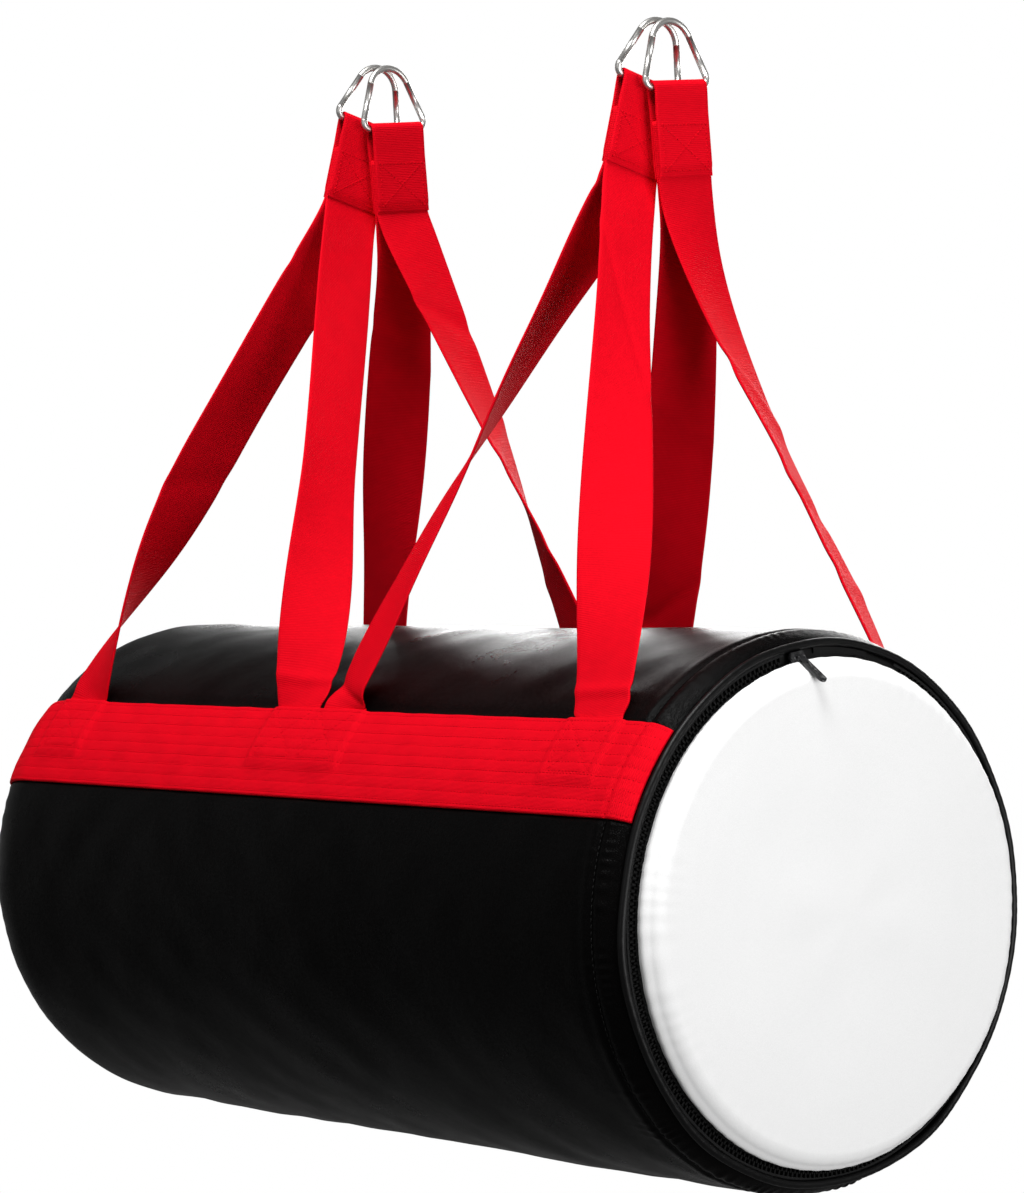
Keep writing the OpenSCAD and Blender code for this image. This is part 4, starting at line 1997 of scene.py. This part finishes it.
LAMPS = (
    Lamp("key", (0.7, -1.5, 2.5), (0, 0, -0.4), (1.6, 1.6), 150),
    Lamp("panel", (3.5, 0.1, -0.65), (0, 0, -0.6), (2.4, 1.8), 88),
    Lamp("front_fill", (0.6, -3.2, -0.1), (0, 0, -0.4), (2.2, 1.6), 9),
    Lamp("backdrop", (-1.45, 2.3, 0.45), (0.1, 0, -0.45), (2.7, 1.5), 84),
)


@dataclass
class Studio:
    """Pale floor, white surround, soft lamps and the camera.

    Attributes:
        aim: Point that the camera looks at.
        location: Place of the camera.
        up: Direction that is up in its view.
        lens: Focal length in millimetres.
        sensor: Width of its sensor in millimetres.
        floor_z: Height of the floor.
        floor_half: Half of the floor's side.
        floor_paint: Brightness of the floor's paint.
        floor_glow: Share of white that the camera sees below the bag and at the edge.
        glow_span: Distances from the middle between which that share rises.
        surround: Strength of the surround for plain and for glossy rays.
    """

    aim: tuple[float, float, float] = (0.02669, 0.0, -0.40624)
    location: tuple[float, float, float] = (2.238265, -1.828682, -0.535361)
    up: tuple[float, float, float] = (0.000291, -0.070085, 0.997541)
    lens: float = 118.65
    sensor: float = 36
    floor_z: float = -1.35
    floor_half: float = 2.7
    floor_paint: float = 0.16
    floor_glow: tuple[float, float] = (0.8, 1.0)
    glow_span: tuple[float, float] = (0.5, 2.4)
    surround: tuple[float, float] = (0.1, 0.26)

    def camera(self) -> None:
        """Place the camera."""
        data = bpy.data.cameras.new("camera")
        data.lens = self.lens
        data.sensor_width = self.sensor
        camera = new_object("camera", data)
        here = Vector(self.location)
        back = (here - Vector(self.aim)).normalized()
        right = Vector(self.up).cross(back).normalized()
        turn = Matrix((right, back.cross(right), back)).transposed().to_4x4()
        camera.matrix_world = Matrix.Translation(here) @ turn
        bpy.context.scene.camera = camera

    def floor(self) -> None:
        """Lay the pale floor, which fades to white and keeps a soft shadow."""
        material = bpy.data.materials.new("studio_floor")
        material.use_nodes = True
        tree = material.node_tree
        tree.nodes.clear()
        add = tree.nodes.new
        paint, glow = add("ShaderNodeBsdfDiffuse"), add("ShaderNodeEmission")
        mixed, output = add("ShaderNodeMixShader"), add("ShaderNodeOutputMaterial")
        paint.inputs[0].default_value = (self.floor_paint, self.floor_paint, self.floor_paint, 1)
        glow.inputs[0].default_value = (1, 1, 1, 1)
        path, part = add("ShaderNodeLightPath"), add("ShaderNodeMath")
        part.operation = "MULTIPLY"
        coords, flat = add("ShaderNodeTexCoord"), add("ShaderNodeMapping")
        flat.inputs["Scale"].default_value = (1, 1, 0)
        reach, fade = add("ShaderNodeVectorMath"), add("ShaderNodeMapRange")
        reach.operation = "LENGTH"
        fade.interpolation_type = "SMOOTHSTEP"
        span = zip(("From Min", "From Max", "To Min", "To Max"), self.glow_span + self.floor_glow)
        for key, number in span:
            fade.inputs[key].default_value = number
        join(tree, (
            (coords, "Object", flat, "Vector"),
            (flat, 0, reach, 0),
            (reach, "Value", fade, "Value"),
            (fade, 0, part, 1),
            (path, "Is Camera Ray", part, 0),
            (part, 0, mixed, 0),
            (paint, 0, mixed, 1),
            (glow, 0, mixed, 2),
            (mixed, 0, output, 0),
        ))
        s, z = self.floor_half, self.floor_z
        corners = np.array([(-s, -s, z), (s, -s, z), (s, s, z), (-s, s, z)])
        ground = make_object("studio_floor", corners, [(0, 1, 2, 3)], material, closed=False)

    def world(self) -> None:
        """Surround the bag with white for the camera and a soft light for the rest."""
        world = bpy.data.worlds.new("studio")
        bpy.context.scene.world = world
        world.use_nodes = True
        tree = world.node_tree
        tree.nodes.clear()
        add = tree.nodes.new
        soft, white = add("ShaderNodeBackground"), add("ShaderNodeBackground")
        mixed, output = add("ShaderNodeMixShader"), add("ShaderNodeOutputWorld")
        path, level = add("ShaderNodeLightPath"), add("ShaderNodeMapRange")
        level.inputs["To Min"].default_value, level.inputs["To Max"].default_value = self.surround
        for paper in (soft, white):
            paper.inputs[0].default_value = (1, 1, 1, 1)
        white.inputs[1].default_value = 1.0
        join(tree, (
            (path, "Is Glossy Ray", level, "Value"),
            (level, 0, soft, 1),
            (path, "Is Camera Ray", mixed, 0),
            (soft, 0, mixed, 1),
            (white, 0, mixed, 2),
            (mixed, 0, output, 0),
        ))

    def build(self) -> None:
        """Set up the camera, the floor, the surround, the lamps and the view."""
        self.camera()
        self.floor()
        self.world()
        for lamp in LAMPS:
            lamp.build()
        bpy.context.scene.view_settings.view_transform = "Standard"


# -------------------------------------------------------------------------- assembly

LEG_SHAPES: dict[tuple[Side, End, Leg], LegShape] = {
    (Side.FRONT, End.FAR, Leg.OUTER): LegShape(
        sense=-1,
        start=0.46,
        end=0.98,
        swell=(-0.002, 0.020),
        leave=0.058,
        land=0.028,
        creases=((0.22, 0.0012, 0.03), (0.52, -0.0010, -0.02)),
    ),
    (Side.FRONT, End.FAR, Leg.INNER): LegShape(
        sense=1,
        start=0.49,
        end=0.99,
        swell=(0.005, 0.001),
        leave=0.042,
        land=0.012,
        creases=((0.86, 0.0016, 0.02),),
        waist=(0.985, 0.2, 0.002),
    ),
    (Side.FRONT, End.NEAR, Leg.INNER): LegShape(
        sense=-1,
        start=0.0,
        end=0.97,
        swell=(0.009, 0.007),
        leave=0.044,
        land=0.010,
        creases=((0.12, 0.0012, 0.03), (0.9, 0.0015, -0.02)),
        pause=(0.75, 0.86, 0.8),
    ),
    (Side.FRONT, End.NEAR, Leg.OUTER): LegShape(
        sense=1,
        start=0.28,
        end=0.93,
        swell=(0.002, 0.001),
        leave=0.046,
        land=0.024,
        creases=((0.3, -0.0009, 0.12), (0.88, 0.0016, 0.02)),
        waist=(0.975, 0.22, 0.003),
    ),
    (Side.BACK, End.FAR, Leg.OUTER): LegShape(
        sense=1,
        start=0.1,
        end=0.78,
        swell=(-0.002, 0.005),
        leave=0.055,
        land=0.05,
        creases=((0.3, 0.0012, 0.04),),
    ),
    (Side.BACK, End.FAR, Leg.INNER): LegShape(
        sense=-1,
        start=0.06,
        end=0.97,
        swell=(0.008, 0.006),
        leave=0.044,
        land=0.034,
        creases=((0.26, -0.0014, 0.03), (0.45, 0.0012, -0.03), (0.63, -0.001, 0.02)),
    ),
    (Side.BACK, End.NEAR, Leg.INNER): LegShape(
        sense=1,
        start=0.1,
        end=0.9,
        swell=(-0.003, 0.008),
        leave=0.049,
        land=0.02,
        creases=((0.42, 0.0012, 0.03), (0.68, -0.0018, -0.05), (0.76, 0.0016, 0.04)),
    ),
    (Side.BACK, End.NEAR, Leg.OUTER): LegShape(
        sense=-1,
        start=0.0,
        end=0.965,
        swell=(-0.024, 0.010),
        leave=0.09,
        land=0.022,
        creases=((0.36, 0.0016, 0.05), (0.5, -0.0012, 0.03), (0.62, 0.001, 0.02)),
        pause=(0.45, 0.79, 0.42),
        sway=0.022,
    ),
}


def build_webbing(
    frame: dict, form: BagForm, finishes: dict[str, Material]
) -> list[float]:
    """Build the folds and legs of the four Vs.

    Args:
        form: The bag's form.
        finishes: Materials by name.

    Returns:
        The places where the legs meet a band.
    """
    ribbon = Ribbon()
    red = finishes["red_webbing"]
    anchors: set[float] = set()
    fold_lines: list[np.ndarray] = []
    for side in Side:
        for end in End:
            hanger = Hanger.from_frame(end, side, frame)
            fold = Fold(hanger, ribbon, red)
            fold.build()
            fold_lines += fold.stitches()
            for leg in Leg:
                shape = LEG_SHAPES[side, end, leg]
                strap = StrapLeg(hanger, leg, shape, form, ribbon, red)
                strap.build()
                anchors.add(round(strap.anchor_x, 4))
                log.info("leg %s meets its band at %.3f m", strap.node, strap.anchor_x)
    sewn = Stitching("fold_stitching", FOLD_STITCH, finishes["red_thread"], "bag")
    sewn.build(fold_lines)
    return sorted(anchors)


def build_stitches(
    form: BagForm, body: BagBody, finishes: dict[str, Material]
) -> None:
    """Sew the seams of the leather body.

    Args:
        form: The bag's form.
        body: The leather body.
        finishes: Materials by name.
    """
    angle = np.linspace(0, FULL_TURN, 720)
    shortest, off = 3, 0.0002
    lines = []
    for place in (form.seam_x, form.far_seam_x):
        x = np.full(angle.shape, place)
        keep = body.band_mask(x, angle) < 0.5
        wall = form.on_wall(x, angle, body.lift(x, angle) + off)
        breaks = np.flatnonzero(np.diff(keep.astype(int)) != 0) + 1
        for part in np.split(np.arange(len(angle)), breaks):
            if keep[part[0]] and len(part) > shortest:
                lines.append(wall[part])
    sewn = Stitching("leather_seam_stitching", SEAM_STITCH, finishes["black_thread"], "bag")
    sewn.build(lines)


def main() -> None:
    """Build the looks of the bag in order and report each piece."""
    logging.basicConfig(level=logging.INFO, format="%(name)s: %(message)s")
    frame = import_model()
    finishes = Finishes().build()
    form = BagForm.from_frame()
    log.info("bag of radius %.4f m, from %.3f to %.3f m", form.radius, form.far_x, form.near_x)

    anchors = build_webbing(frame, form, finishes)
    body = BagBody(form, finishes["black_leather"], anchors)
    body.build()
    log.info("leather body built")
    build_stitches(form, body, finishes)
    for trim in (RimWelt, ZipGusset, ZipEnd):
        trim(form, finishes["black_trim"]).build()
    log.info("rim piping and facing built")
    EndPanel(form, finishes["white_leather"]).build()
    log.info("end panel built")
    for side in Side:
        band = Band(side, form, anchors, finishes["red_webbing"])
        band.build()
        name, thread = f"{side.word}_band_stitching", finishes["red_thread"]
        sewn = Stitching(name, BAND_STITCH, thread, "bag")
        sewn.build(band.stitches())
        log.info("%s band built and sewn", side.word)
    hardware = Hardware(finishes)
    hardware.rings()
    hardware.zip()
    hardware.carried(frame)
    Studio().build()


if __name__ == "__main__":
    main()
